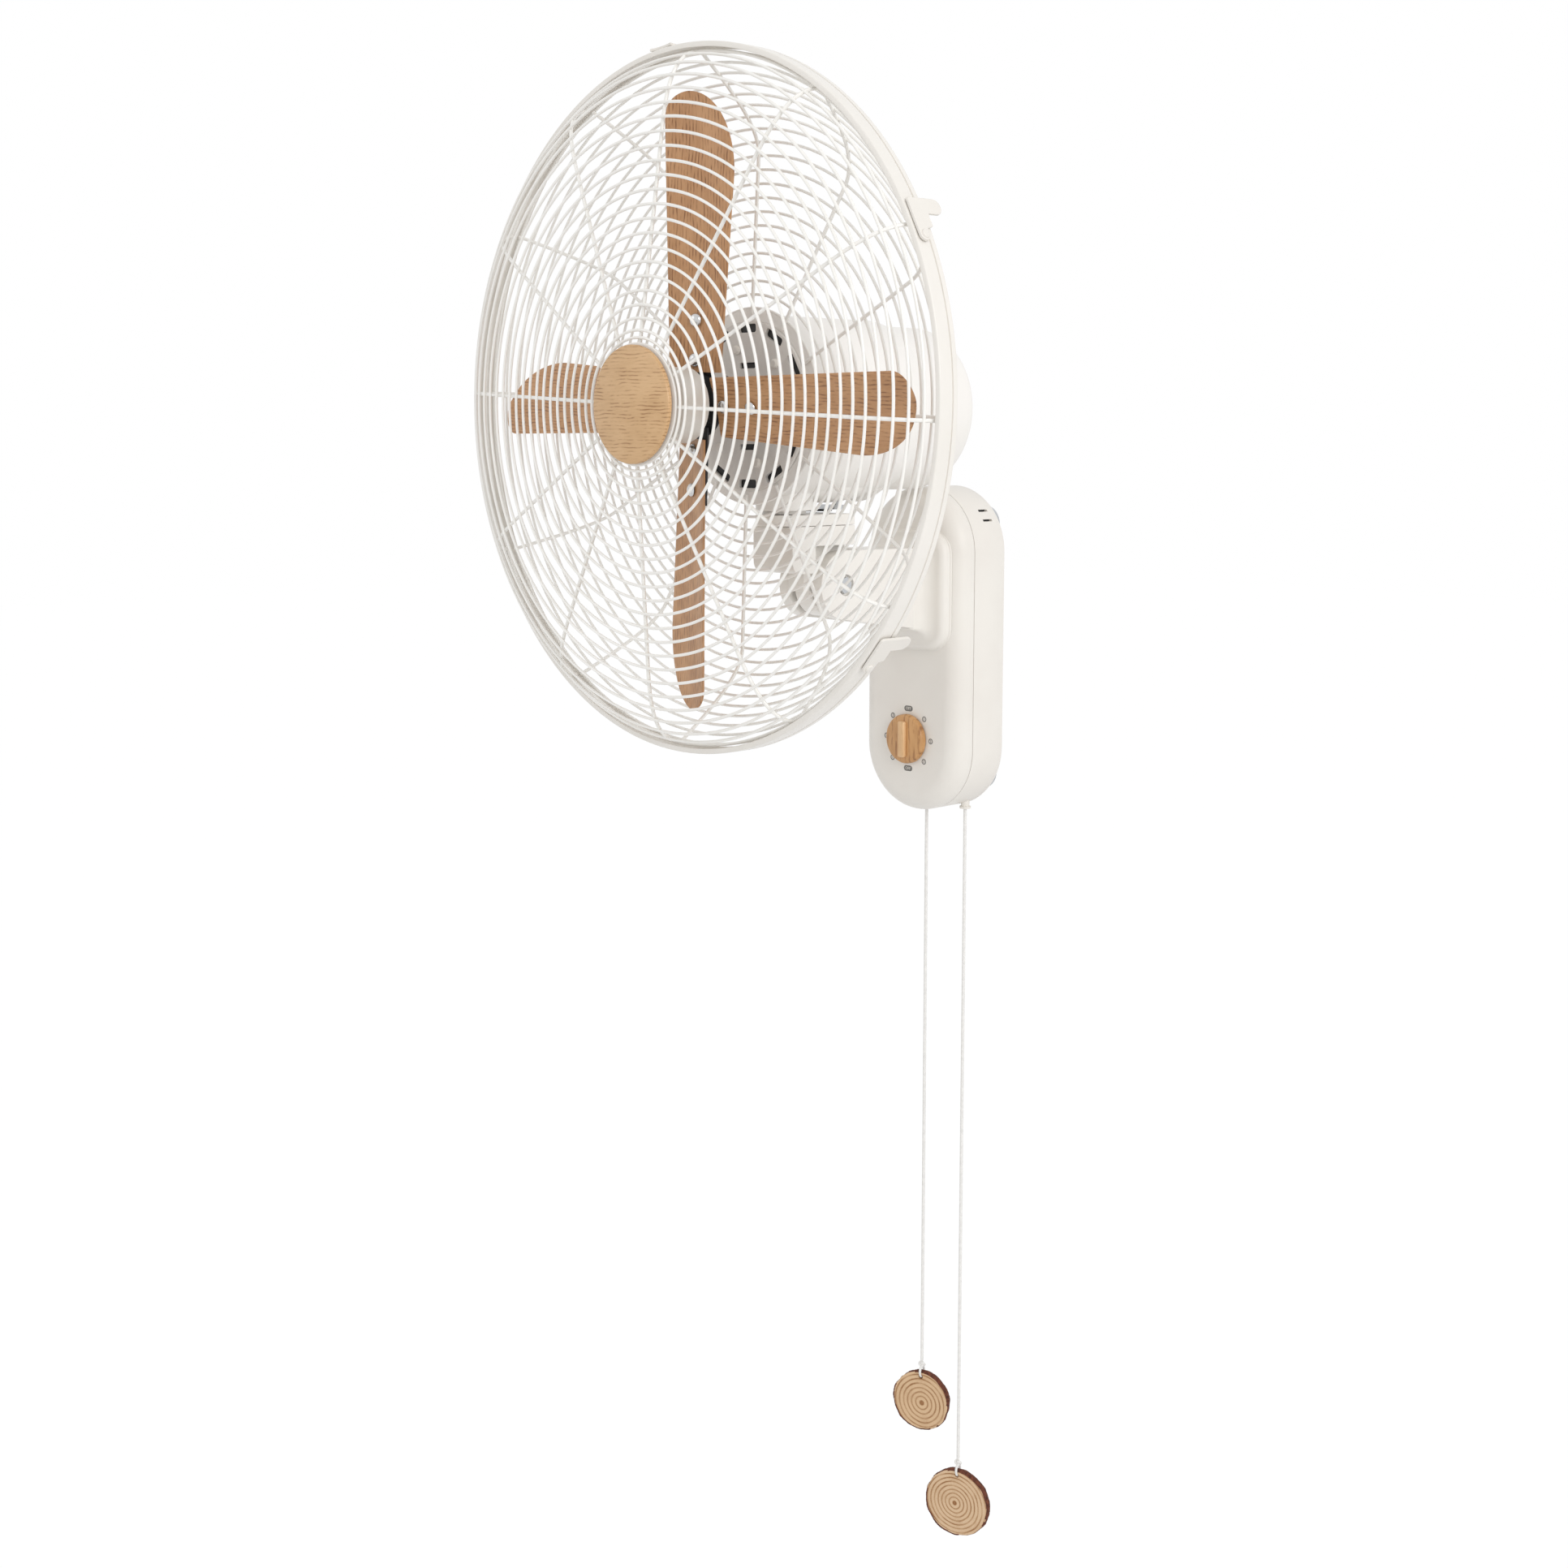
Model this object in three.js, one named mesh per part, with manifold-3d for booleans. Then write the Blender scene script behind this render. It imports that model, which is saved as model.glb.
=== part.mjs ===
// Wall mounted fan, 40 cm blades, in millimetres. +Z is up, the wall is the plane Y = 0 and the fan blows
// towards -Y. The origin is the middle of the back of the wall plate.
import * as THREE from 'three';
import { mergeVertices } from 'three/addons/utils/BufferGeometryUtils.js';
import Module from 'manifold-3d';

const wasm = await Module();
wasm.setup();

// Driving dimensions
const gap = 0.3; // left between pieces that touch
const wallToRing = 270; // wall to the plane of the guard's rim
const axisHeight = 178; // blade axis above the origin

const box = { width: 98, height: 243, front: -55, seam: -37.7, back: -3.3, wall: 2.5, fillet: 14 };
const plate = { width: 80, height: 214, thick: 3 };
const pad = { width: 80, height: 88, z: 45.5, rise: 7, corner: 18 };
const arm = { width: 43, pivotY: -143, pivotZ: 53.5, ear: 24.5, topZ: 77, rootBottomZ: 17, slot: 24.6 };
const dial = { z: -66.5, knob: 19, plate: 26.5, shaft: 3 };
const pull = { x: 19.8, y: -12.5, radius: 1.25 };
const cordLengths = { left: 458, right: 526.5 }; // from the eyelet's mouth to the knot
const cordTop = -box.height / 2 + 34; // held in the pull switch here
const cordSteps = 36;
const slice = { thick: 5.5, left: 25, right: 27.9, turn: 16 }; // radii, and the turn about Z in degrees

const swing = { y: 87, boss: 20, pin: 4 }; // the vertical pin's distance behind the ring plane, and radii
const crank = { x: 1.8, y: 137.1, radius: 17, pin: 1.5 }; // drive crank of the swing linkage
const linkFoot = { x: -24.3, y: 91.7 }; // fixed foot of the link, on a lug of the neck
const gearStem = { x: 16.2, y: 158 }; // upright stem of the reduction gears
const neckTopZ = 104;

const motor = { front: 56.8, split: 168, end: 226.5, radius: 62, rearRadius: 58.5, wall: 2.2 };
const guard = { radius: 232, hoopWidth: 13, wire: 1.25, spokes: 12, ringPitch: 20, turn: -3 };
const blade = { tip: 203, root: 22, pitch: 17, y: 4, thick: 2.6, camber: 2.4, turn: -2.5 };
const bladeEdges = { // distance of the two edges from the blade's axis, and where the tip's two curves start
  lead: { root: 19.5, outer: 27.5, from: 188 },
  trail: { root: 21, outer: 27, from: 150 },
  tipAt: 9, // the outermost point lies this far towards the leading edge
};
const badge = { radius: 38.4, front: -51, thick: 3.6 };

// Solids
function closed(geometry) { // a closed body with shared vertices and its faces pointing out
  geometry.deleteAttribute('normal');
  geometry.deleteAttribute('uv');
  const merged = mergeVertices(geometry, 1e-3);
  const index = merged.index.array;
  const kept = [];
  for (let i = 0; i < index.length; i += 3) {
    const [a, b, c] = [index[i], index[i + 1], index[i + 2]];
    if (a !== b && b !== c && c !== a) kept.push(a, b, c);
  }
  const p = merged.attributes.position;
  const [u, v, w] = [new THREE.Vector3(), new THREE.Vector3(), new THREE.Vector3()];
  let volume = 0;
  for (let i = 0; i < kept.length; i += 3) {
    u.fromBufferAttribute(p, kept[i]);
    v.fromBufferAttribute(p, kept[i + 1]);
    w.fromBufferAttribute(p, kept[i + 2]);
    volume += u.dot(v.cross(w));
  }
  if (volume < 0) for (let i = 0; i < kept.length; i += 3) [kept[i], kept[i + 1]] = [kept[i + 1], kept[i]];
  merged.setIndex(kept);
  return merged;
}

function solid(geometry) {
  const g = closed(geometry);
  return new wasm.Manifold(new wasm.Mesh({
    numProp: 3,
    vertProperties: new Float32Array(g.attributes.position.array),
    triVerts: new Uint32Array(g.index.array),
  }));
}

function geometryOf(body) {
  const mesh = body.getMesh();
  const g = new THREE.BufferGeometry();
  g.setAttribute('position', new THREE.BufferAttribute(new Float32Array(mesh.vertProperties), 3));
  g.setIndex(new THREE.BufferAttribute(new Uint32Array(mesh.triVerts), 1));
  return g;
}

function join(...geometries) {
  return geometryOf(geometries.map(solid).reduce((a, b) => a.add(b)));
}

function cut(base, ...tools) {
  return geometryOf(tools.map(solid).reduce((a, b) => a.subtract(b), solid(base)));
}

function common(a, b) {
  return geometryOf(solid(a).intersect(solid(b)));
}

function block(x0, x1, y0, y1, z0, z1) {
  return new THREE.BoxGeometry(x1 - x0, y1 - y0, z1 - z0)
    .translate((x0 + x1) / 2, (y0 + y1) / 2, (z0 + z1) / 2);
}

function turned(profile, steps = 20) { // profile of [radius, y] pairs, turned about Y
  return new THREE.LatheGeometry(profile.map(([r, y]) => new THREE.Vector2(r, y)), steps);
}

function tube(inner, outer, y0, y1, steps = 20) {
  return turned([[inner, y0], [outer, y0], [outer, y1], [inner, y1], [inner, y0]], steps);
}

function rod(radius, y0, y1, steps = 16) {
  return turned([[0, y0], [radius, y0], [radius, y1], [0, y1]], steps);
}

function upright(geometry, x, y, z) { // Y axis of the piece to Z
  return geometry.rotateX(Math.PI / 2).translate(x, y, z);
}

function hanging(geometry, x, y, z) { // Y axis of the piece to -Z
  return geometry.rotateX(-Math.PI / 2).translate(x, y, z);
}

function sideways(geometry, x, y, z) { // Y axis of the piece to X
  return geometry.rotateZ(-Math.PI / 2).translate(x, y, z);
}

function outline(width, height, radius) { // rounded rectangle, or a stadium at its largest radius
  const s = new THREE.Shape();
  const [w, h, r] = [width / 2, height / 2, radius];
  s.absarc(w - r, h - r, r, 0, Math.PI / 2);
  s.absarc(r - w, h - r, r, Math.PI / 2, Math.PI);
  s.absarc(r - w, r - h, r, Math.PI, Math.PI * 1.5);
  s.absarc(w - r, r - h, r, Math.PI * 1.5, Math.PI * 2);
  return s;
}

function slab(shape, yFront, yBack, curveSegments = 8) { // an outline in X and Z, extruded along Y
  return new THREE.ExtrudeGeometry(shape, { depth: yBack - yFront, bevelEnabled: false, curveSegments })
    .rotateX(Math.PI / 2).translate(0, yBack, 0);
}

function pillow(shape, yFront, yBack, soft, bevelSegments = 3, curveSegments = 7) { // rounded front edge
  const full = new THREE.ExtrudeGeometry(shape, {
    depth: yBack - yFront, bevelThickness: soft, bevelSize: soft, bevelOffset: -soft,
    bevelSegments, curveSegments,
  }).rotateX(Math.PI / 2).translate(0, yBack + soft, 0);
  return common(full, block(-300, 300, yFront, yBack, -300, 300));
}

// Nodes
function material(colour, roughness, metalness = 0) {
  return new THREE.MeshStandardMaterial({ color: colour, roughness, metalness });
}

const whitePlastic = () => material(0xece8e0, 0.45);
const whitePaint = () => material(0xefece6, 0.35);
const paleGrey = () => material(0xcfcdc8, 0.5);
const oak = () => material(0xcda673, 0.55);
const bladeOak = () => material(0xbe8c5f, 0.55);
const sliceWood = () => material(0xd7b48c, 0.8);
const steel = () => material(0xb9bcbf, 0.3, 1);
const darkSteel = () => material(0x3a3a3c, 0.5, 0.7);
const copper = () => material(0xb06a3a, 0.4, 0.8);
const blackPlastic = () => material(0x2b2b2c, 0.6);
const braid = () => material(0xf2f0ea, 0.9);

const fan = new THREE.Group();
const head = new THREE.Group(); // its own origin is the middle of the guard's ring plane
head.position.set(0, -wallToRing, axisHeight);
fan.add(head);

function node(parent, name, geometry, finish) {
  const mesh = new THREE.Mesh(geometry, finish);
  mesh.name = name;
  parent.add(mesh);
  return mesh;
}

// Wall box
function wallPlate() {
  const sheet = slab(outline(plate.width, plate.height, 14), -plate.thick, 0, 4);
  const holes = [75, -75].flatMap((z) => [
    rod(5, -10, 10, 12).translate(0, 0, z - 6),
    block(-2.6, 2.6, -10, 10, z - 6, z + 6),
  ]);
  return cut(sheet, ...holes);
}

function rearCase() {
  const r = box.width / 2;
  const inner = box.width - 2 * box.wall;
  const shell = slab(outline(box.width, box.height, r), box.seam + gap / 2, box.back);
  const hollow = slab(outline(inner, box.height - 2 * box.wall, inner / 2), box.seam - 5, box.back - box.wall);
  const tools = [hollow];
  for (const side of [-1, 1]) {
    tools.push(upright(rod(3.6, -12, 12, 12), side * pull.x, pull.y, -box.height / 2 + 8));
    for (const z of [96.5, 103.5]) { // short vent slots on the shoulders
      const x = side * (Math.sqrt(r ** 2 - (z - box.height / 2 + r) ** 2) - 1);
      tools.push(block(x - 7, x + 7, -22, -12, z, z + 1.6));
    }
  }
  tools.push(sideways(rod(5.3, -8, 8, 12), -box.width / 2, -20, -58));
  return cut(shell, ...tools);
}

function frontCover() {
  const r = box.width / 2;
  const t = box.wall;
  const inner = box.width - 2 * t;
  const back = box.seam - gap / 2;
  const skin = pillow(outline(box.width, box.height, r), box.front, back, box.fillet);
  const inside = outline(inner, box.height - 2 * t, inner / 2);
  const hollow = pillow(inside, box.front + t, back + 4, box.fillet - t, 2, 5);
  const padOutline = outline(pad.width, pad.height, pad.corner);
  const raised = pillow(padOutline, box.front - pad.rise, box.front + 1, 6, 2, 4).translate(0, 0, pad.z);
  const opening = block(-arm.width / 2 - gap, arm.width / 2 + gap, box.front - 20, back + 5,
    arm.rootBottomZ - gap, arm.topZ + gap);
  const shaftHole = rod(4.5, box.front - 5, box.front + 10, 12).translate(0, 0, dial.z);
  const recess = rod(dial.plate + gap, box.front - 1, box.front + 0.8, 28).translate(0, 0, dial.z);
  return cut(join(cut(skin, hollow), raised), opening, shaftHole, recess);
}

function supportArm() {
  const side = new THREE.Shape(); // drawn in Y (across) and Z (up), then extruded across X
  const { pivotY: y, pivotZ: z, ear } = arm;
  const rootY = box.front - 6;
  side.absarc(y, z, ear, Math.PI / 2, Math.PI * 1.5);
  side.lineTo(rootY, arm.rootBottomZ);
  side.lineTo(-44, arm.rootBottomZ);
  side.lineTo(-44, arm.topZ);
  side.lineTo(rootY, arm.topZ);
  const body = new THREE.ExtrudeGeometry(side, { depth: arm.width, bevelEnabled: false, curveSegments: 10 })
    .rotateY(Math.PI / 2).rotateX(Math.PI / 2).translate(-arm.width / 2, 0, 0);
  const flange = block(-32, 32, -44.5, -41, arm.rootBottomZ - 8, arm.topZ + 8);
  const slotEnd = y + ear + 2.5;
  const slot = block(-arm.slot / 2, arm.slot / 2, y - 40, slotEnd, z - 60, z + 60);
  const bolt = sideways(rod(4.3, -40, 40, 12), 0, y, z);
  const counterbore = sideways(rod(7.2, arm.width / 2 - 3, arm.width, 12), 0, y, z);
  const core = block(-12, 12, slotEnd + 8, -30, arm.rootBottomZ + 10, arm.topZ - 12);
  const screws = [-1, 1].map((s) => rod(2.4, -60, -30, 10).translate(s * 26, 0, arm.topZ - 30));
  return cut(join(body, flange), slot, bolt, counterbore, core, ...screws);
}

function armScrew() {
  return join(rod(2.1, -40.6, -5.9, 10), rod(4.2, -47.5, -44.8, 10), rod(2.1, -45, -40.5, 10));
}

function tiltBolt() {
  const half = arm.width / 2;
  return join(
    sideways(rod(4, -half - 4, half - 3, 12), 0, arm.pivotY, arm.pivotZ),
    sideways(rod(6.6, half - 3 + gap, half - 0.4, 12), 0, arm.pivotY, arm.pivotZ),
    sideways(rod(4, half - 3.2, half - 2, 12), 0, arm.pivotY, arm.pivotZ),
  );
}

function nut(inner, outer, from, to) {
  return cut(rod(outer, from, to, 6), rod(inner, from - 1, to + 1, 12));
}

function rotarySwitch() {
  const y0 = box.front + box.wall + 1;
  const body = block(-17, 17, y0, y0 + 24, dial.z - 17, dial.z + 17);
  const bore = rod(dial.shaft + gap, y0 - 1, y0 + 12, 12).translate(0, 0, dial.z);
  return cut(body, bore);
}

function controlKnob() {
  const y0 = box.front - 8.6;
  const y1 = box.front - 0.6;
  const disc = turned([[0, y0], [dial.knob - 1.6, y0], [dial.knob, y0 + 1.8], [dial.knob, y1], [0, y1]], 24);
  const grip = block(-4, 4, y0 - 7, y0 + 1, -dial.knob + 3.2, dial.knob - 3.2);
  const socket = rod(dial.shaft + gap, y0 + 3, y1 + 1, 12);
  return cut(join(disc, grip), socket).translate(0, 0, dial.z);
}

function pullSwitch(side) {
  const x = side * pull.x;
  const body = block(x - 11, x + 11, -26, -6.4, -box.height / 2 + 22, -box.height / 2 + 52);
  return cut(body, upright(rod(2.4, -40, 0, 10), x, pull.y, cordTop + 2));
}

function eyelet(side) { // flanged bush in the bottom of the case
  const z = -box.height / 2 + bottomRise();
  const bush = turned([[2.2, -2.2], [4.4, -2.2], [4.4, -0.6], [3.3, -0.6], [3.3, 5], [2.2, 5],
    [2.2, -2.2]], 12);
  return upright(bush, side * pull.x, pull.y, z - 2.6);
}

function bottomRise() { // how far the round bottom of the box has risen at a cord
  const r = box.width / 2;
  return r - Math.sqrt(r * r - pull.x * pull.x);
}


function cordRoute(side) { // hangs plumb from the switch to its knot
  const length = side < 0 ? cordLengths.left : cordLengths.right;
  const low = -box.height / 2 + bottomRise() - length;
  return new THREE.LineCurve3(
    new THREE.Vector3(side * pull.x, pull.y, cordTop),
    new THREE.Vector3(side * pull.x, pull.y, low),
  );
}

function pullCord(side) {
  const route = cordRoute(side);
  const section = new THREE.Shape();
  section.absarc(0, 0, pull.radius, 0, Math.PI * 2);
  return new THREE.ExtrudeGeometry(section, {
    extrudePath: route, steps: cordSteps, bevelEnabled: false, curveSegments: 4,
  });
}

function cordKnot(side) {
  const end = cordRoute(side).v2;
  const ball = [[0, -3.2], [2.1, -2.6], [3.1, 0], [2.1, 2.6], [0, 3.2]];
  return upright(turned(ball, 10), end.x, end.y, end.z - 3.2 - gap);
}

function sliceCentre(side) {
  const radius = side < 0 ? slice.left : slice.right;
  const end = cordRoute(side).v2;
  return new THREE.Vector3(end.x, end.y, end.z - 6.4 - gap - 1.4 - radius);
}

function woodSlice(side) { // a cut branch: its rim wanders a little
  const radius = side < 0 ? slice.left : slice.right;
  const rim = [];
  for (let i = 0; i < 28; i += 1) {
    const a = (i / 28) * Math.PI * 2;
    const r = radius * (1 + 0.018 * Math.sin(3 * a + side) + 0.012 * Math.sin(7 * a + 2 * side));
    rim.push(new THREE.Vector2(r * Math.cos(a), r * Math.sin(a)));
  }
  const disc = slab(new THREE.Shape(rim), -slice.thick / 2, slice.thick / 2);
  const hole = rod(2, -10, 10, 10).translate(0, 0, radius - 5);
  const c = sliceCentre(side);
  return cut(disc, hole).rotateZ(THREE.MathUtils.degToRad(slice.turn)).translate(c.x, c.y, c.z);
}

function mainsGland() {
  return sideways(turned([[2.9, -14], [4.6, -14], [6, -2], [8.2, -2], [8.2, 0], [4.9, 0], [4.9, 5], [2.9, 5],
    [2.9, -14]], 12), -box.width / 2 - gap, -20, -58);
}

node(fan, 'wall_plate', wallPlate(), steel());
node(fan, 'rear_case', rearCase(), whitePlastic());
node(fan, 'front_cover', frontCover(), whitePlastic());
node(fan, 'dial_plate', cut(
  rod(dial.plate, box.front - 0.1, box.front + 0.5, 28).translate(0, 0, dial.z),
  rod(4.5, box.front - 5, box.front + 5, 12).translate(0, 0, dial.z),
), whitePlastic());
node(fan, 'support_arm', supportArm(), whitePlastic());
node(fan, 'tilt_bolt', tiltBolt(), steel());
const nutX = -arm.width / 2 - gap - 3.6;
node(fan, 'tilt_nut', sideways(nut(4.3, 7.2, 0, 3.6), nutX, arm.pivotY, arm.pivotZ), steel());
node(fan, 'arm_screw_left', armScrew().translate(-26, 0, arm.topZ - 30), steel());
node(fan, 'arm_screw_right', armScrew().translate(26, 0, arm.topZ - 30), steel());
node(fan, 'rotary_switch', rotarySwitch(), blackPlastic());
node(fan, 'control_knob', controlKnob(), oak());
node(fan, 'knob_shaft', rod(dial.shaft, box.front - 5, box.front + 13, 12).translate(0, 0, dial.z), steel());
node(fan, 'capacitor', block(-30, 6, -34, -12, -20, -4), blackPlastic());
node(fan, 'terminal_block', block(-42, -24, -30, -18, -50, -34), paleGrey());
node(fan, 'mains_gland', mainsGland(), whitePlastic());
for (const [side, name] of [[-1, 'left'], [1, 'right']]) {
  node(fan, `pull_switch_${name}`, pullSwitch(side), blackPlastic());
  node(fan, `cord_eyelet_${name}`, eyelet(side), whitePlastic());
  node(fan, `pull_cord_${name}`, pullCord(side), braid());
  node(fan, `cord_knot_${name}`, cordKnot(side), braid());
  node(fan, `wood_slice_${name}`, woodSlice(side), sliceWood());
}

// Neck: tilts on the arm's bolt
function neckBlock() {
  const top = neckTopZ - 8.3;
  const upper = block(-20, 20, -194, -133, 82, top);
  const chin = block(-20, 20, -194, -171.5, 63, 83);
  const tongueWidth = 23.6;
  const tongue = block(-tongueWidth / 2, tongueWidth / 2, -172, arm.pivotY + 12, arm.pivotZ - 6, 83);
  const eye = sideways(rod(23, -tongueWidth / 2, tongueWidth / 2, 24), 0, arm.pivotY, arm.pivotZ);
  const bolt = sideways(rod(4.3, -30, 30, 12), 0, arm.pivotY, arm.pivotZ);
  const pinHole = upright(rod(swing.pin + gap, -60, 60, 12), 0, -wallToRing + swing.y, neckTopZ);
  return cut(join(upper, chin, tongue, eye), bolt, pinHole);
}

function neckCap() {
  const y0 = -wallToRing + swing.y;
  const lid = block(-20, 20, y0, -133, neckTopZ - 8, neckTopZ);
  const nose = upright(rod(20, -8, 0, 20), 0, y0, neckTopZ);
  const [footX, footY] = [linkFoot.x, -wallToRing + linkFoot.y];
  const lug = block(footX, -15, footY - 4.5, footY + 4.5, neckTopZ - 5, neckTopZ);
  const lugEnd = upright(rod(4.5, -5, 0, 14), footX, footY, neckTopZ);
  const foot = upright(rod(1.8, -1, 2.3, 10), footX, footY, neckTopZ);
  const pinHole = upright(rod(swing.pin + gap, -30, 30, 12), 0, y0, neckTopZ);
  return cut(join(lid, nose, lug, lugEnd, foot), pinHole);
}

const swingY = -wallToRing + swing.y;
node(fan, 'neck_block', neckBlock(), whitePlastic());
node(fan, 'neck_cap', neckCap(), whitePlastic());
node(fan, 'pivot_pin', upright(rod(swing.pin, -19, 32, 12), 0, swingY, 96), steel());
for (const [side, name] of [[-1, 'left'], [1, 'right']]) {
  const washer = tube(4.3, 9, -0.1, 0.1, 12);
  const washerX = side * (arm.slot / 2 - 0.25);
  node(fan, `tilt_washer_${name}`, sideways(washer, washerX, arm.pivotY, arm.pivotZ), steel());
}

// Motor: its pieces are in the head's own frame
function motorHousing() {
  const { front, split, radius: r, wall: t } = motor;
  const shell = turned([[0, front], [r - 1, front], [r, front + 1], [r, split - 4], [r - 3, split],
    [0, split]], 28);
  const { boss } = swing; // stepped in at its foot, where the link bar passes
  const neckBoss = hanging(turned([[0, 50], [boss, 50], [boss, 71.4], [boss - 5, 71.4], [boss - 5, 73.7],
    [0, 73.7]]), 0, swing.y, 0);
  const crankBoss = hanging(rod(13, 50, 66.5, 16), crank.x, crank.y, 0);
  const hollow = turned([[0, front - 5], [r - t, front - 5], [r - t, split - 5], [r - t - 3, split - t],
    [r - t - 3, split + 5], [0, split + 5]], 28);
  const pinHole = hanging(rod(swing.pin + gap, 40, 80, 12), 0, swing.y, 0);
  const crankHole = hanging(rod(3.6, 40, 80, 12), crank.x, crank.y, 0);
  return cut(join(shell, neckBoss, crankBoss), hollow, pinHole, crankHole);
}

function motorRearCover() {
  const { split, end, rearRadius: r, wall: t } = motor;
  const y0 = split + gap;
  const soft = 15;
  const dome = (radius, yStart, yEnd) => {
    const points = [[0, yStart], [radius, yStart]];
    for (let i = 0; i <= 3; i += 1) {
      const a = (i / 3) * Math.PI / 2;
      points.push([radius - soft + soft * Math.cos(a), yEnd - soft + soft * Math.sin(a)]);
    }
    return turned([...points, [0, yEnd]], 28);
  };
  return cut(dome(r, y0, end), dome(r - t, y0 - 1, end - t));
}

function motorFrontPlate() {
  const disc = turned([[0, 52.4], [14, 52.4], [14, 51], [18, 51], [18, 52.4], [57, 52.4], [57.6, 53],
    [57.6, 54.6], [0, 54.6]], 24);
  const hub = tube(11.3, 15.5, 54.5, 64.5, 20);
  const tools = [rod(11.3, 53.6, 70, 20), rod(5, 40, 60, 16)];
  for (let i = 0; i < 12; i += 1) {
    const slot = block(48.5, 53.5, 40, 60, -7.5, 7.5);
    tools.push(slot.rotateY((i / 12) * Math.PI * 2));
  }
  for (let i = 0; i < 4; i += 1) {
    tools.push(block(26, 29, 40, 60, -9, 9).rotateY(((i + 0.5) / 4) * Math.PI * 2));
  }
  return cut(join(disc, hub), ...tools);
}

function rearBracket() {
  const disc = turned([[0, 144], [49, 144], [49, 146.4], [0, 146.4]], 24);
  const hub = tube(11.3, 15, 136, 144.5, 20);
  const windowAngles = [1, 3, 5].map((sixth) => (sixth / 3) * Math.PI);
  const windows = windowAngles.map((a) => block(20, 40, 140, 150, -10, 10).rotateY(a));
  return cut(join(disc, hub), rod(11.3, 130, 143.4, 20), rod(5.5, 130, 150, 16), ...windows);
}

function motorShaft() {
  const worm = turned([[0, 150], [4.6, 150], [4.6, 166], [0, 166]], 12);
  return join(rod(4, -20, 172, 16), worm);
}

function toothedWheel(outer, teeth, thick) {
  const points = [];
  for (let i = 0; i < teeth; i += 1) {
    for (const [step, r] of [[0, outer], [0.4, outer], [0.7, outer - 2]]) {
      const a = ((i + step) / teeth) * Math.PI * 2;
      points.push(new THREE.Vector2(r * Math.cos(a), r * Math.sin(a)));
    }
  }
  return slab(new THREE.Shape(points), -thick / 2, thick / 2);
}

const gearLevel = -51; // the reduction gears run below the stator

function wormWheel() { // turned by the worm on the motor shaft, with the pinion on its stem
  const wheel = upright(toothedWheel(11, 12, 5), gearStem.x, gearStem.y, 0);
  const stem = hanging(rod(2.5, -6, 54, 10), gearStem.x, gearStem.y, 0);
  const pinion = upright(toothedWheel(7, 8, 3), gearStem.x, gearStem.y, gearLevel);
  return join(wheel, stem, pinion);
}

function crankArm() { // crank, its shaft and the gear that drives it
  const [dx, dy] = crankPinOffset();
  const stem = hanging(rod(3.2, 49.5, 71, 12), crank.x, crank.y, 0);
  const gear = upright(toothedWheel(17.9, 15, 3), crank.x, crank.y, gearLevel);
  const web = block(0, crank.radius, -4.5, 4.5, -71.6, -68.6)
    .rotateZ(Math.atan2(dy, dx)).translate(crank.x, crank.y, 0);
  const shaftPad = hanging(rod(6, 68.6, 71.6, 14), crank.x, crank.y, 0);
  const pinPad = hanging(rod(4.5, 68.6, 71.6, 14), crank.x + dx, crank.y + dy, 0);
  const pin = hanging(rod(crank.pin, 69, 73.5, 10), crank.x + dx, crank.y + dy, 0);
  return join(stem, gear, web, shaftPad, pinPad, pin);
}

function crankPinOffset() { // at rest crank and link stand square to each other, the crank towards the foot
  const foot = Math.hypot(linkFoot.x, linkFoot.y - swing.y);
  return [crank.radius * linkFoot.x / foot, crank.radius * (linkFoot.y - swing.y) / foot];
}

function linkBar() {
  const [dx, dy] = crankPinOffset();
  const pin = [crank.x + dx, crank.y + dy];
  const [lx, ly] = [linkFoot.x - pin[0], linkFoot.y - pin[1]];
  const long = Math.hypot(lx, ly);
  const bar = block(0, long, -2.8, 2.8, -73.4, -72).rotateZ(Math.atan2(ly, lx)).translate(pin[0], pin[1], 0);
  const pinEye = hanging(rod(5.8, 72, 73.4, 16), pin[0], pin[1], 0);
  const footEye = hanging(rod(4.4, 72, 73.4, 14), linkFoot.x, linkFoot.y, 0);
  const pinHole = hanging(rod(crank.pin + 2.2, 60, 80, 14), pin[0], pin[1], 0);
  const footHole = hanging(rod(2.1, 60, 80, 10), linkFoot.x, linkFoot.y, 0);
  return cut(join(bar, pinEye, footEye), pinHole, footHole);
}

node(head, 'motor_housing', motorHousing(), whitePlastic());
node(head, 'motor_rear_cover', motorRearCover(), whitePlastic());
node(head, 'motor_front_plate', motorFrontPlate(), paleGrey());
node(head, 'stator_core', tube(26, 48, 80, 120), darkSteel());
node(head, 'winding_front', tube(29, 44, 69, 79.7, 20), copper());
node(head, 'winding_rear', tube(29, 44, 120.3, 131, 20), copper());
node(head, 'bearing_front', tube(4.3, 11, 58, 64, 16), steel());
node(head, 'bearing_rear', tube(4.3, 11, 137, 143, 16), steel());
node(head, 'rear_bracket', rearBracket(), paleGrey());
node(head, 'motor_shaft', motorShaft(), steel());
node(head, 'rotor_core', tube(4.3, 25.5, 80, 120), darkSteel());
node(head, 'worm_wheel', wormWheel(), whitePlastic());
node(head, 'crank_arm', crankArm(), steel());
node(head, 'link_bar', linkBar(), darkSteel());

// Guards
function frontProfile() { // radius and depth of the front wires, from the badge out to the hoop
  const path = new THREE.CurvePath();
  path.add(new THREE.LineCurve(new THREE.Vector2(40, -45), new THREE.Vector2(178, -31)));
  path.add(new THREE.CubicBezierCurve(new THREE.Vector2(178, -31), new THREE.Vector2(208, -28),
    new THREE.Vector2(224, -20), new THREE.Vector2(226.4, -3.4)));
  return path;
}

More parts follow.
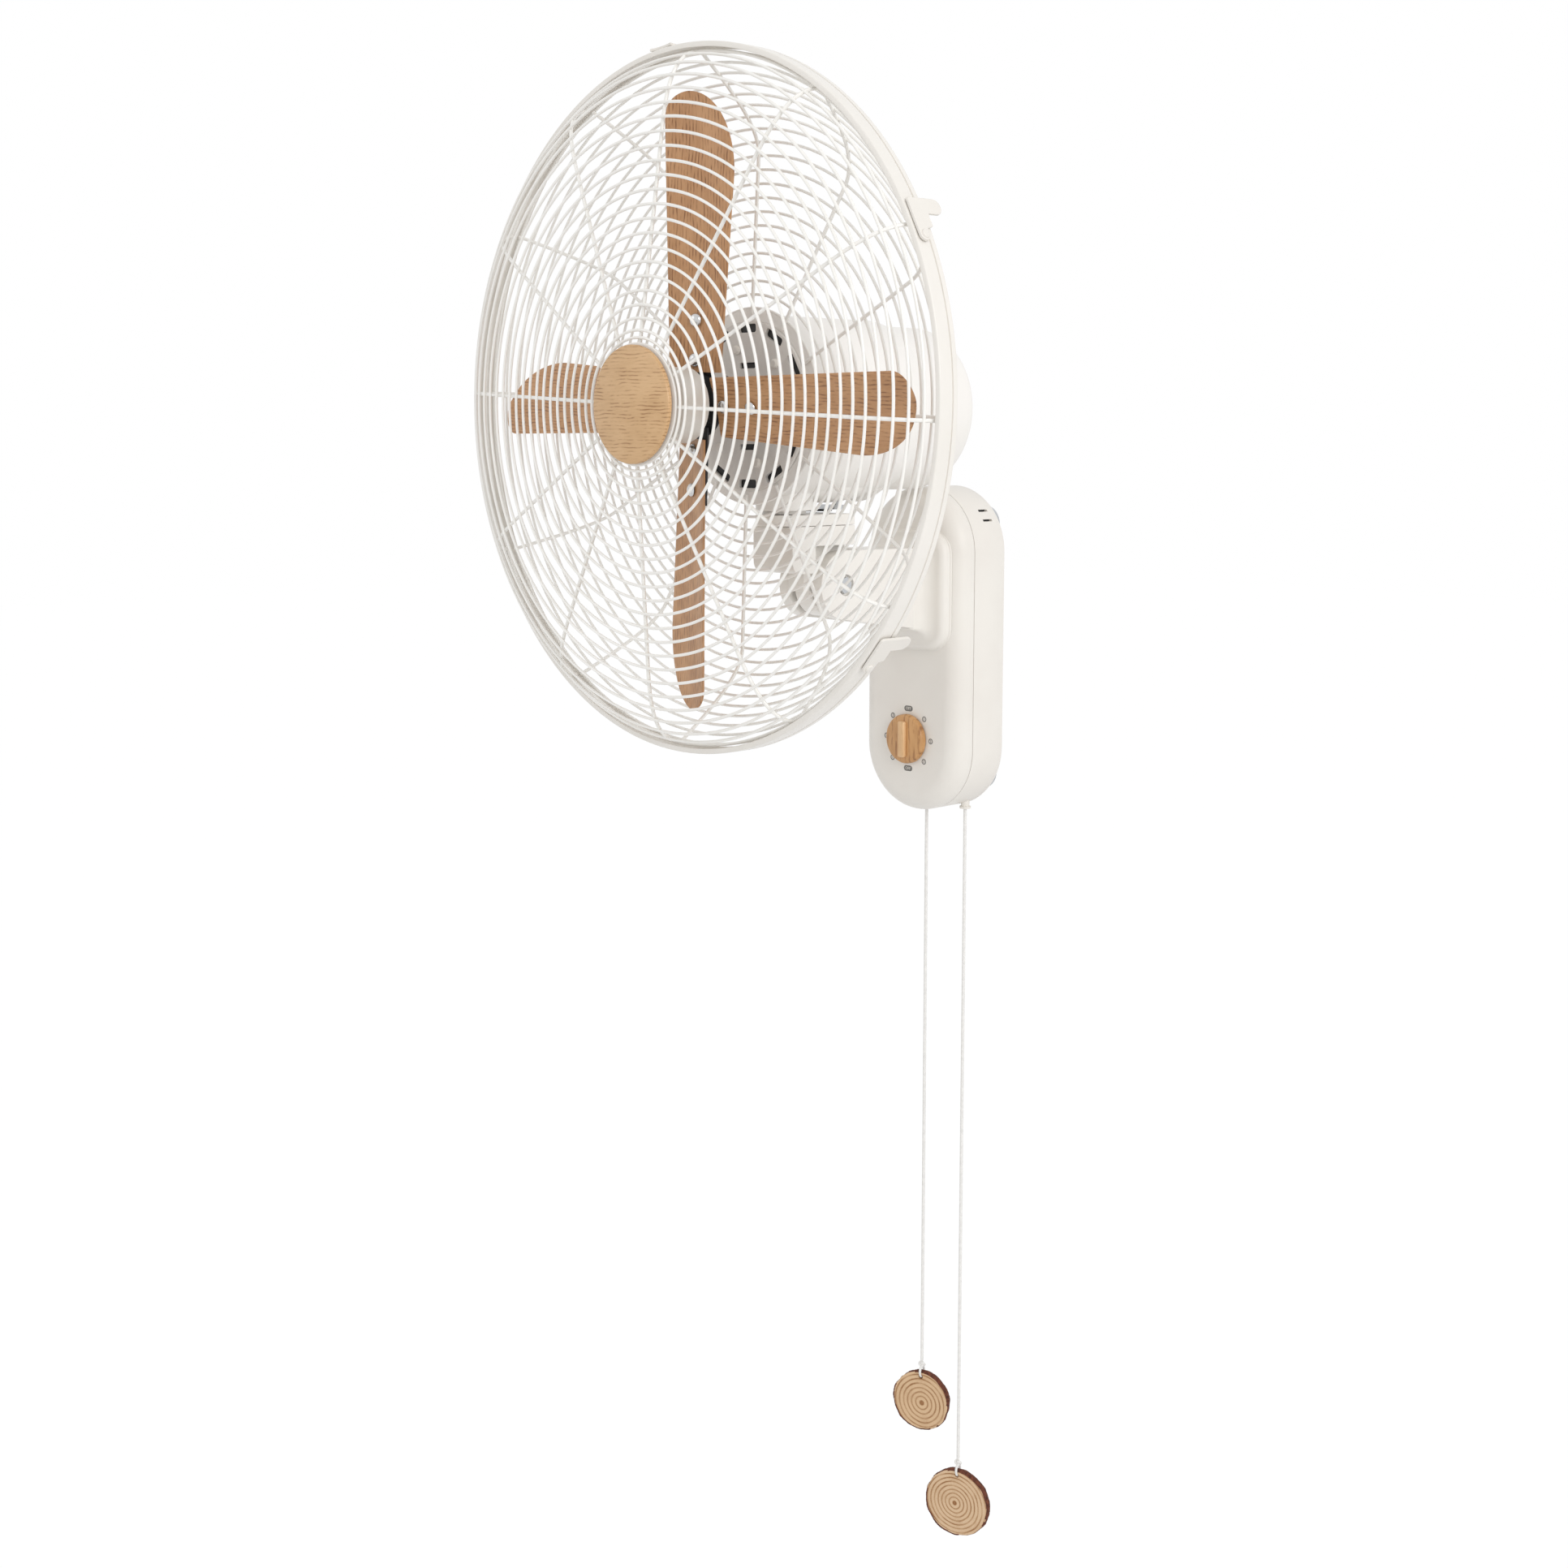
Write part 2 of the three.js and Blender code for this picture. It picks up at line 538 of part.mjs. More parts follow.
function rearProfile() { // flat behind the blades, then sloping forward to the hoop
  const path = new THREE.CurvePath();
  path.add(new THREE.LineCurve(new THREE.Vector2(60, 55.8), new THREE.Vector2(166, 57)));
  path.add(new THREE.CubicBezierCurve(new THREE.Vector2(166, 57), new THREE.Vector2(185, 57),
    new THREE.Vector2(205, 32), new THREE.Vector2(226.4, 4)));
  return path;
}

function wireRing(radius, y) {
  const thick = guard.wire;
  const steps = radius < 120 ? 20 : 28;
  const points = [];
  for (let i = 0; i <= 3; i += 1) {
    const a = (i / 3) * Math.PI * 2;
    points.push([radius + thick * Math.cos(a), y + thick * Math.sin(a)]);
  }
  return turned(points, steps);
}

function wireSpoke(profile, index, back, steps) {
  const points = profile.getSpacedPoints(steps).map((p) => new THREE.Vector3(p.x, p.y + back, 0));
  const section = new THREE.Shape([0, 1, 2, 3].map((i) => {
    const a = (i / 4) * Math.PI * 2 + Math.PI / 4;
    return new THREE.Vector2(1.5 * Math.cos(a), 1.5 * Math.sin(a));
  }));
  return new THREE.ExtrudeGeometry(section, {
    extrudePath: new THREE.CatmullRomCurve3(points), steps, bevelEnabled: false,
  }).rotateY((index / guard.spokes) * Math.PI * 2 - THREE.MathUtils.degToRad(guard.turn));
}

function wireGuard(profile, back, innerRing) {
  const count = Math.floor(profile.getLength() / guard.ringPitch);
  const pieces = [innerRing];
  for (let i = 1; i <= count; i += 1) {
    const p = profile.getPointAt(i / count);
    pieces.push(wireRing(p.x, p.y));
  }
  for (let i = 0; i < guard.spokes; i += 1) { // every fourth spoke carries all the rings
    pieces.push(i % 4 === 0 ? wireSpoke(profile, i, back, 14) : wireSpoke(profile, i, back * 2.1, 6));
  }
  return join(...pieces);
}

function guardHoop() {
  const half = guard.hoopWidth / 2;
  const [r0, r1] = [guard.radius - 1.2, guard.radius];
  return turned([[r0, -half], [r0 - 2.4, -half - 0.8], [r0 - 2.4, -half - 1.6], [r1, -half - 1], [r1, half + 1],
    [r0 - 2.4, half + 1.6], [r0 - 2.4, half + 0.8], [r0, half], [r0, -half]], 48);
}

function hoopJoint() {
  const half = guard.hoopWidth / 2 + 1;
  return block(-11, 11, -half, half, guard.radius + gap, guard.radius + 2.6);
}

const clipAngles = { upper: 27, lower: -41 }; // on the +X side, from the horizontal

function clipLever() { // lies on the hoop at the +X end: rivet, plate, and a thumb tab past the rear edge
  const x0 = guard.radius + 0.7;
  const lever = block(x0, x0 + 1.8, -6, 6.5, -15, 15);
  const tab = block(x0, x0 + 1.8, 5, 20, 4, 14);
  const rivet = sideways(rod(3.4, 0, 3, 12), x0, 0, -11);
  return join(lever, tab, rivet);
}

const frontHub = join(tube(31, 41.5, -45.8, -44.2, 24), tube(37.5, 41.5, -45, -41, 24));
const rearHub = join(tube(50, 66, 55, 56.4, 24), tube(63.4, 66, 52, 56, 24));
node(head, 'front_guard', wireGuard(frontProfile(), 1.2, frontHub), whitePaint());
node(head, 'rear_guard', wireGuard(rearProfile(), -1.2, rearHub), whitePaint());
node(head, 'guard_hoop', guardHoop(), whitePaint());
node(head, 'hoop_joint', hoopJoint(), whitePlastic());
for (const [name, angle] of Object.entries(clipAngles)) {
  node(head, `guard_clip_${name}`, clipLever().rotateY(-THREE.MathUtils.degToRad(angle)), whitePlastic());
}
node(head, 'badge_plate', join(rod(34, -47.1, -46.1, 24), rod(30, -46.2, -43, 24)), whitePlastic());
const badgeBack = badge.front + badge.thick;
node(head, 'wood_badge', turned([[0, badge.front], [badge.radius - 1.2, badge.front],
  [badge.radius, badge.front + 1.2], [badge.radius, badgeBack], [0, badgeBack]], 30), oak());

// Rotor: four oak-finished blades on a pressed spider
const rivetRadii = [30, 56];

function bladeEdge({ root, outer, from }, side, r) { // nearly straight, then an elliptic curve round to the tip
  if (r < from) return side * THREE.MathUtils.lerp(root, outer, (r - blade.root) / (from - blade.root));
  const t = Math.min((r - from) / (blade.tip - from), 0.995);
  return bladeEdges.tipAt + side * (outer - side * bladeEdges.tipAt) * Math.sqrt(1 - t * t);
}

function bladeGeometry() { // along +X, the leading edge forward by its pitch about the X axis
  const stations = [blade.root, 50, 85, 120, 150, 168, 180, 188, 195, 200, blade.tip];
  const across = 4;
  const fullWidth = bladeEdges.lead.outer + bladeEdges.trail.outer;
  const rings = stations.map((r) => {
    const [low, high] = [bladeEdge(bladeEdges.trail, -1, r), bladeEdge(bladeEdges.lead, 1, r)];
    const front = [];
    const back = [];
    for (let i = 0; i <= across; i += 1) {
      const s = i / across - 0.5;
      const z = THREE.MathUtils.lerp(low, high, i / across);
      const bow = blade.camber * (1 - 4 * s * s) * (high - low) / fullWidth;
      const half = (blade.thick / 2) * (i === 0 || i === across ? 0.3 : 1);
      front.push(new THREE.Vector3(r, bow - half, z));
      back.push(new THREE.Vector3(r, bow + half, z));
    }
    return [...front, ...back.reverse()];
  });
  const n = rings[0].length;
  const positions = rings.flat().flatMap((p) => [p.x, p.y, p.z]);
  const index = [];
  for (let k = 0; k < rings.length - 1; k += 1) {
    for (let i = 0; i < n; i += 1) {
      const [a, b] = [k * n + i, k * n + (i + 1) % n];
      index.push(a, b, a + n, b, b + n, a + n);
    }
  }
  for (let i = 0; i < n / 2 - 1; i += 1) { // root and tip caps, front edge to back edge
    const j = n - 1 - i;
    const top = (rings.length - 1) * n;
    index.push(i, j, i + 1, i + 1, j, j - 1);
    index.push(top + i, top + i + 1, top + j, top + i + 1, top + j - 1, top + j);
  }
  const g = new THREE.BufferGeometry();
  g.setAttribute('position', new THREE.BufferAttribute(new Float32Array(positions), 3));
  g.setIndex(index);
  const holes = rivetRadii.map((r) => rod(2.3, -20, 20, 8).translate(r, 0, 0));
  return cut(g, ...holes).rotateX(THREE.MathUtils.degToRad(blade.pitch));
}

function bladeAngle(index) { // about the Y axis
  return (index / 4) * Math.PI * 2 - THREE.MathUtils.degToRad(blade.turn);
}

function bladeBracket() {
  const pieces = [tube(4.3, 21, 9.6, 11.6, 24)];
  for (let i = 0; i < 4; i += 1) {
    const rivets = rivetRadii.flatMap((r) => [
      rod(2, -1, 6, 8).translate(r, 0, 0),
      turned([[0, -2.6], [3, -1.9], [4.5, -0.6], [0, -0.6]], 10).translate(r, 0, 0),
    ]);
    pieces.push(join(block(14, 66, 4.6, 6.4, -12, 12), ...rivets)
      .rotateX(THREE.MathUtils.degToRad(blade.pitch)).translate(0, blade.y, 0).rotateY(bladeAngle(i)));
  }
  return join(...pieces);
}

for (let i = 0; i < 4; i += 1) {
  const geometry = bladeGeometry().translate(0, blade.y, 0).rotateY(bladeAngle(i));
  node(head, `blade_${i + 1}`, geometry, bladeOak());
}
node(head, 'blade_bracket', bladeBracket(), darkSteel());
const spinnerBody = turned([[0, -24], [24, -24], [25, -23], [25, -4.2], [0, -4.2]], 24);
node(head, 'spinner', cut(spinnerBody, rod(4.3, -20.4, 0, 16), tube(10, 22, -14, 0, 20)), whitePlastic());

export default fan;
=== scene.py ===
import math
import random

import bmesh
import bpy
from mathutils import Matrix, Vector


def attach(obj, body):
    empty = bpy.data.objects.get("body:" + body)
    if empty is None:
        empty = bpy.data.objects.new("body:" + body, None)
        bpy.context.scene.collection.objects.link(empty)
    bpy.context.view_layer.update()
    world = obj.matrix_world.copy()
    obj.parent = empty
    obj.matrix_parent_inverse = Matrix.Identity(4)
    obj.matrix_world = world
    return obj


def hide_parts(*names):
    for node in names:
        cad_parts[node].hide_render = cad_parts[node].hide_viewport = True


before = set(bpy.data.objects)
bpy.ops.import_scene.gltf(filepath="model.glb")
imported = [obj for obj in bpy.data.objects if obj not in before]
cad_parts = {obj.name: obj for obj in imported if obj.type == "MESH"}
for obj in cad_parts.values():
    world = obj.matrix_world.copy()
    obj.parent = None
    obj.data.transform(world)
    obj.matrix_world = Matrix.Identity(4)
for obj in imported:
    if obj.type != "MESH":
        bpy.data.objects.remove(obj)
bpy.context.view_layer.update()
scene = bpy.context.scene
scene.view_settings.view_transform = "Standard"
mm = 0.001
headPlace = Vector((0, -270, 178)) * mm  # middle of the guard's ring plane
print("frame loaded")

# Camera, at the photograph's viewing angle
cameraSetup = {
    "place": (1.0520, -1.1788, 0.1539),
    "azimuth": 46.58,
    "pitchDown": 7.04,
    "lens": 47.55,
    "sensor": 36,
    "nearest": 0.01,
    "shiftY": -0.055,
}


def addCamera(setup):
    data = bpy.data.cameras.new("photoCamera")
    data.lens = setup["lens"]
    data.sensor_width = setup["sensor"]
    data.shift_y = setup["shiftY"]
    data.clip_start = setup["nearest"]
    camera = bpy.data.objects.new("photoCamera", data)
    camera.location = setup["place"]
    camera.rotation_euler = (math.radians(90 - setup["pitchDown"]), 0, math.radians(setup["azimuth"]))
    scene.collection.objects.link(camera)
    scene.camera = camera


addCamera(cameraSetup)


# Mesh helpers: a shape is (points in mm, faces)
tiny = 1e-6


def span(low, high, steps):  # evenly spaced values, both ends included
    return [low + (high - low) * i / steps for i in range(steps + 1)]


def ringFaces(rings, closed=False):  # between rows of point numbers, with triangles at a row of one point
    faces = []
    for k in range(len(rings) if closed else len(rings) - 1):
        low, high = rings[k], rings[(k + 1) % len(rings)]
        for i in range(len(low)):
            j = (i + 1) % len(low)
            face = [low[i], low[j], high[j], high[i]]
            unique = [v for n, v in enumerate(face) if v not in face[:n]]
            if len(unique) > 2:
                faces.append(unique)
    return faces


def stacked(points, size, closed=False):  # rows of equal size, capped at both ends unless they close
    rows = len(points) // size
    faces = []
    for k in range(rows if closed else rows - 1):
        low, high = k * size, (k + 1) % rows * size
        faces += [[low + i, low + (i + 1) % size, high + (i + 1) % size, high + i] for i in range(size)]
    if not closed:
        faces += [list(range(size))[::-1], [(rows - 1) * size + i for i in range(size)]]
    return points, faces


def turn(profile, steps=96):  # (radius, y) pairs turned about Y
    closed = math.dist(profile[0], profile[-1]) < tiny
    points, rings = [], []
    for radius, y in profile[:-1] if closed else profile:
        if radius < tiny:
            rings.append([len(points)] * steps)
            points.append((0, y, 0))
            continue
        rings.append(list(range(len(points), len(points) + steps)))
        points += [(radius * math.cos(a), y, radius * math.sin(a)) for a in span(0, 2 * math.pi, steps)[:-1]]
    return points, ringFaces(rings, closed)


def roundCorners(corners, radius, steps=5):  # softens the corners of a flat outline
    result = []
    count = len(corners)
    for i, here in enumerate(corners):
        r = radius[i] if isinstance(radius, (list, tuple)) else radius
        if r <= 0:
            result.append(tuple(here))
            continue
        p = Vector(here)
        before = Vector(corners[i - 1]) - p
        after = Vector(corners[(i + 1) % count]) - p
        half = before.angle(after) / 2
        reach = min(r / math.tan(half), before.length * 0.49, after.length * 0.49)
        start, end = p + before.normalized() * reach, p + after.normalized() * reach
        for k in range(steps + 1):
            t = k / steps
            result.append(tuple(start * (1 - t) ** 2 + p * 2 * t * (1 - t) + end * t ** 2))
    return result


def ringWire(radius, y, thick, steps=144, sides=8):
    profile = [(radius + thick * math.cos(a), y + thick * math.sin(a)) for a in span(0, 2 * math.pi, sides)[:-1]]
    return turn(profile + profile[:1], steps)


def tubeAlong(path, radius, sides=10, closed=False):  # round tube along a list of points
    line = [Vector(p) for p in path]
    count = len(line)
    points, normal = [], None
    for i, p in enumerate(line):
        if closed:
            forward = (line[(i + 1) % count] - line[i - 1]).normalized()
        else:
            forward = (line[min(i + 1, count - 1)] - line[max(i - 1, 0)]).normalized()
        if normal is None:
            guess = Vector((0, 0, 1)) if abs(forward.z) < 0.9 else Vector((1, 0, 0))
            normal = forward.cross(guess).normalized()
        else:
            normal = (normal - forward * normal.dot(forward)).normalized()
        side = forward.cross(normal)
        points += [tuple(p + (normal * math.cos(a) + side * math.sin(a)) * radius)
                   for a in span(0, 2 * math.pi, sides)[:-1]]
    return stacked(points, sides, closed)


def roundedOutline(width, height, radius, steps=12):  # in X and Z, a stadium at its largest radius
    result = []
    for cx, cz, start in ((1, 1, 0), (-1, 1, 90), (-1, -1, 180), (1, -1, 270)):
        for degrees in span(start, start + 90, steps):
            a = math.radians(degrees)
            result.append((cx * (width / 2 - radius) + radius * math.cos(a),
                           cz * (height / 2 - radius) + radius * math.sin(a)))
    return result


def layered(outlineAt, profile):  # stacked outlines: profile is (inset, y) from front to back
    points = [(x, y, z) for inset, y in profile for x, z in outlineAt(inset)]
    return stacked(points, len(points) // len(profile))


def quarter(radius, yFront, steps=8):  # (inset, y) pairs of a rounded front edge
    return [(radius * (1 - math.sin(a)), yFront + radius * (1 - math.cos(a))) for a in span(0, math.pi / 2, steps)]


def softBox(x0, x1, y0, y1, z0, z1, soft=1.0, segments=3):
    bm = bmesh.new()
    corners = [bm.verts.new((x, y, z)) for x in (x0, x1) for y in (y0, y1) for z in (z0, z1)]
    for face in ((0, 1, 3, 2), (4, 6, 7, 5), (0, 4, 5, 1), (2, 3, 7, 6), (0, 2, 6, 4), (1, 5, 7, 3)):
        bm.faces.new([corners[i] for i in face])
    bmesh.ops.bevel(bm, geom=bm.edges[:], offset=soft, segments=segments, affect="EDGES", profile=0.5)
    bm.verts.index_update()
    data = [tuple(v.co) for v in bm.verts], [[v.index for v in f.verts] for f in bm.faces]
    bm.free()
    return data


def prism(outline, low, high, axis="X"):  # a flat outline pushed along one axis
    place = {
        "X": lambda a, b, c: (c, a, b),
        "Y": lambda a, b, c: (a, c, b),
        "Z": lambda a, b, c: (a, b, c),
    }[axis]
    return stacked([place(a, b, level) for level in (low, high) for a, b in outline], len(outline))


def moved(shape, matrix):
    return [tuple(matrix @ Vector(p)) for p in shape[0]], shape[1]


def shifted(shape, x=0, y=0, z=0):
    return moved(shape, Matrix.Translation((x, y, z)))


def together(*shapes):
    points, faces = [], []
    for p, f in shapes:
        start = len(points)
        points += p
        faces += [[i + start for i in face] for face in f]
    return points, faces


def alongX(shape, x=0, y=0, z=0):  # a shape made along Y, laid along X
    return moved(shape, Matrix.Translation((x, y, z)) @ Matrix.Rotation(math.radians(-90), 4, "Z"))


def downward(shape, x=0, y=0, z=0):  # a shape made along Y, pointing down
    return moved(shape, Matrix.Translation((x, y, z)) @ Matrix.Rotation(math.radians(-90), 4, "X"))


def aboutY(degrees):
    return Matrix.Rotation(math.radians(degrees), 4, "Y")


def faceOutward(mesh):
    bm = bmesh.new()
    bm.from_mesh(mesh)
    bmesh.ops.recalc_face_normals(bm, faces=bm.faces)
    bm.to_mesh(mesh)
    bm.free()


def meshOf(name, shape):
    mesh = bpy.data.meshes.new(name)
    mesh.from_pydata([tuple(c * mm for c in p) for p in shape[0]], [], shape[1])
    mesh.validate()
    faceOutward(mesh)
    return mesh


def piece(name, shape, finish, body, stands=(), place=(0, 0, 0), turnMatrix=None, sharp=35, soften=0, slot=None):
    mesh = meshOf(name, shape)
    obj = bpy.data.objects.new(name, mesh)
    scene.collection.objects.link(obj)
    obj.matrix_world = Matrix.Translation(place) @ (turnMatrix or Matrix())
    looks = finish if isinstance(finish, list) else [finish]
    for look in looks:
        mesh.materials.append(finishes[look])
    if soften:
        softEdges(obj, soften)
    smooth(obj, sharp)
    if body:
        settle(obj, body, stands)
    return obj


def headPiece(name, shape, finish, stands=(), turnMatrix=None, body="head", **more):  # placed from the ring plane
    return piece(name, shape, finish, body, stands, headPlace, turnMatrix, **more)


def softEdges(obj, width, angle=30):
    bevel = obj.modifiers.new("softEdges", "BEVEL")
    bevel.width = width * mm
    bevel.segments = 3
    bevel.limit_method = "ANGLE"
    bevel.angle_limit = math.radians(angle)


def smooth(obj, sharp):
    mesh = obj.data
    mesh.polygons.foreach_set("use_smooth", [True] * len(mesh.polygons))
    mesh.set_sharp_from_angle(angle=math.radians(sharp))


def settle(obj, body, stands):
    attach(obj, body)
    if stands:
        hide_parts(*stands)


def bake(obj):  # modifiers into the mesh
    bpy.context.view_layer.update()
    graph = bpy.context.evaluated_depsgraph_get()
    mesh = bpy.data.meshes.new_from_object(obj.evaluated_get(graph))
    obj.modifiers.clear()
    obj.data = mesh


def carve(obj, *shapes):  # cuts shapes, given like the piece's own, out of it
    cutters = []
    for shape in shapes:
        cutter = bpy.data.objects.new("cutter", meshOf("cutter", shape))
        scene.collection.objects.link(cutter)
        cutter.matrix_world = obj.matrix_world
        cutters.append(cutter)
        cutting = obj.modifiers.new("cut", "BOOLEAN")
        cutting.operation = "DIFFERENCE"
        cutting.solver = "EXACT"
        cutting.object = cutter
    bake(obj)
    for cutter in cutters:
        bpy.data.objects.remove(cutter)


# Materials
def tone(red, green, blue):  # a screen colour as the shader wants it
    def one(v):
        v /= 255
        return v / 12.92 if v <= 0.04045 else ((v + 0.055) / 1.055) ** 2.4
    return one(red), one(green), one(blue), 1.0


def startMaterial(name, roughness, metallic=0.0, coat=0.0):
    material = bpy.data.materials.new(name)
    material.use_nodes = True
    tree = material.node_tree
    tree.nodes.clear()
    output = tree.nodes.new("ShaderNodeOutputMaterial")
    shader = tree.nodes.new("ShaderNodeBsdfPrincipled")
    shader.inputs["Roughness"].default_value = roughness
    shader.inputs["Metallic"].default_value = metallic
    shader.inputs["Coat Weight"].default_value = coat
    tree.links.new(shader.outputs[0], output.inputs[0])
    return material, tree, shader


def addNode(tree, kind, values=None, **settings):
    node = tree.nodes.new(kind)
    for key, value in settings.items():
        setattr(node, key, value)
    for key, value in (values or {}).items():
        node.inputs[key].default_value = value
    return node


def objectPlace(tree, scale=(1, 1, 1), location=(0, 0, 0)):
    coordinates = tree.nodes.new("ShaderNodeTexCoord")
    mapping = addNode(tree, "ShaderNodeMapping", {"Scale": scale, "Location": location})
    tree.links.new(coordinates.outputs["Object"], mapping.inputs["Vector"])
    return mapping.outputs["Vector"]


def ramp(tree, source, stops):
    node = tree.nodes.new("ShaderNodeValToRGB")
    elements = node.color_ramp.elements
    while len(elements) < len(stops):
        elements.new(0.5)
    for element, (position, colour) in zip(elements, stops):
        element.position = position
        element.color = colour
    tree.links.new(source, node.inputs["Fac"])
    return node.outputs["Color"]


def noise(tree, vector, scale, detail=3, distortion=0.0):
    node = addNode(tree, "ShaderNodeTexNoise", {"Scale": scale, "Detail": detail, "Distortion": distortion})
    tree.links.new(vector, node.inputs["Vector"])
    return node.outputs["Fac"]


def bump(tree, shader, height, strength, distance):
    node = addNode(tree, "ShaderNodeBump", {"Strength": strength, "Distance": distance})
    tree.links.new(height, node.inputs["Height"])
    tree.links.new(node.outputs["Normal"], shader.inputs["Normal"])


def plainFinish(name, colour, other, roughness, grain, grainHeight, metallic=0.0, coat=0.0, patch=18):
    material, tree, shader = startMaterial(name, roughness, metallic, coat)
    where = objectPlace(tree)
    cloud = noise(tree, where, patch, 3)
    tree.links.new(ramp(tree, cloud, [(0.35, tone(*colour)), (0.65, tone(*other))]), shader.inputs["Base Color"])
    bump(tree, shader, noise(tree, where, grain, 2), 0.25, grainHeight)
    return material


def spread(tree, source, low, high, lowest=0.0, highest=1.0):  # stretches a value's range and clips it
    node = addNode(tree, "ShaderNodeMapRange", {
        "From Min": low, "From Max": high, "To Min": lowest, "To Max": highest})
    tree.links.new(source, node.inputs["Value"])
    return node.outputs["Result"]


def combine(tree, operation, first, second):
    node = addNode(tree, "ShaderNodeMath", operation=operation)
    tree.links.new(first, node.inputs[0])
    if isinstance(second, float):
        node.inputs[1].default_value = second
    else:
        tree.links.new(second, node.inputs[1])
    return node.outputs[0]


def wave(tree, where, period, distortion, **settings):  # period in metres
    node = addNode(tree, "ShaderNodeTexWave", {
        "Scale": 0.314 / period, "Distortion": distortion, "Detail": 2.0, "Detail Scale": 0.8, "Detail Roughness": 0.5,
    }, **settings)
    tree.links.new(where, node.inputs["Vector"])
    return node.outputs["Fac"]


def woodFinish(name, colours, along, period, wander, depth, roughness):  # oak with short wavy dashes
    light, middle, dark = colours
    material, tree, shader = startMaterial(name, roughness, coat=0.15)
    stretch = {"X": (0.5, 1, 1), "Z": (1, 1, 0.5)}[along]
    fine = {"X": (0.07, 1, 1), "Z": (1, 1, 0.07)}[along]
    where = objectPlace(tree, stretch)
    lines = wave(tree, where, period, wander, wave_type="BANDS", bands_direction="Z" if along == "X" else "X")
    broken = spread(tree, noise(tree, where, 230, 2), 0.4, 0.6)
    dashes = combine(tree, "MULTIPLY", spread(tree, lines, 0.5, 0.98), broken)
    fibres = noise(tree, objectPlace(tree, fine), 1400, 4, 0.2)
    slow = noise(tree, where, 60, 2)
    body = combine(tree, "ADD", combine(tree, "MULTIPLY", slow, 0.6), combine(tree, "MULTIPLY", fibres, 0.4))
    value = combine(tree, "SUBTRACT", body, combine(tree, "MULTIPLY", dashes, depth))
    colour = ramp(tree, value, [(0.12, tone(*dark)), (0.42, tone(*middle)), (0.62, tone(*light))])
    tree.links.new(colour, shader.inputs["Base Color"])
    bump(tree, shader, value, 0.25, 0.00015)
    return material


# Two colours, roughness, grains per metre, grain height in metres, metallic, coat, patches per metre
plainLooks = {
    "whitePlastic": [(232, 227, 220), (236, 232, 225), 0.42, 900, 0.00005],
    "whitePaint": [(234, 230, 223), (238, 234, 228), 0.34, 500, 0.00006, 0, 0.15],
    "wirePaint": [(245, 243, 238), (248, 246, 242), 0.3, 400, 0.00004, 0, 0.25],
    # The motor's white is a lighter copy of the white plastic: painted light that offsets the shadow the guard casts
    # on the motor
    "motorWhite": [(242, 239, 234), (245, 242, 238), 0.42, 900, 0.00005],
    "greyPlastic": [(224, 221, 216), (229, 226, 221), 0.5, 900, 0.00005],
    "blackPlastic": [(34, 34, 35), (42, 42, 43), 0.55, 900, 0.00005],
    "darkMetal": [(52, 52, 54), (62, 62, 64), 0.5, 700, 0.00004, 0.6],
    "steel": [(186, 188, 190), (200, 202, 204), 0.28, 1200, 0.00002, 1],
    "chrome": [(214, 216, 218), (222, 224, 226), 0.1, 1500, 0.00001, 1],
    "copper": [(168, 96, 52), (186, 112, 64), 0.35, 1600, 0.0001, 0.8],
    "markPrint": [(118, 116, 112), (126, 124, 120), 0.6, 1200, 0.00002],
    "markPale": [(222, 218, 210), (227, 223, 216), 0.6, 1200, 0.00002],
    "braid": [(230, 228, 225), (240, 238, 235), 0.9, 2600, 0.0004, 0, 0, 300],
    "spinner": [(224, 221, 215), (230, 227, 221), 0.3, 900, 0.00003, 0, 0.2],
    "bark": [(72, 36, 22), (116, 62, 40), 0.85, 700, 0.0008, 0, 0, 420],
}
# Light, middle and dark, direction of the grain, spacing in metres, wander, depth, roughness
woodLooks = {
    "badgeOak": [[(216, 177, 131), (206, 166, 119), (158, 114, 70)], "X", 0.0024, 5.0, 0.3, 0.45],
    "knobOak": [[(208, 160, 106), (190, 140, 88), (146, 98, 56)], "Z", 0.0044, 4.0, 0.3, 0.42],
    # The grip's oak is a lighter copy of the knob's oak: a painted highlight on the raised bar
    "gripOak": [[(228, 188, 140), (218, 176, 128), (184, 138, 90)], "Z", 0.0044, 4.0, 0.2, 0.42],
    "bladeOak": [[(202, 155, 112), (188, 140, 97), (140, 95, 60)], "X", 0.0025, 5.0, 0.34, 0.42],
}
# Colour between the rings, their spacing in metres, place of the pith
sliceLooks = {
    "sliceLeft": [(216, 183, 145), 0.0036, (0.0012, -0.0018)],
    "sliceRight": [(217, 186, 151), 0.0032, (-0.0016, -0.0006)],
}
ringTones = {"pith": (146, 100, 58), "line": (184, 146, 108)}


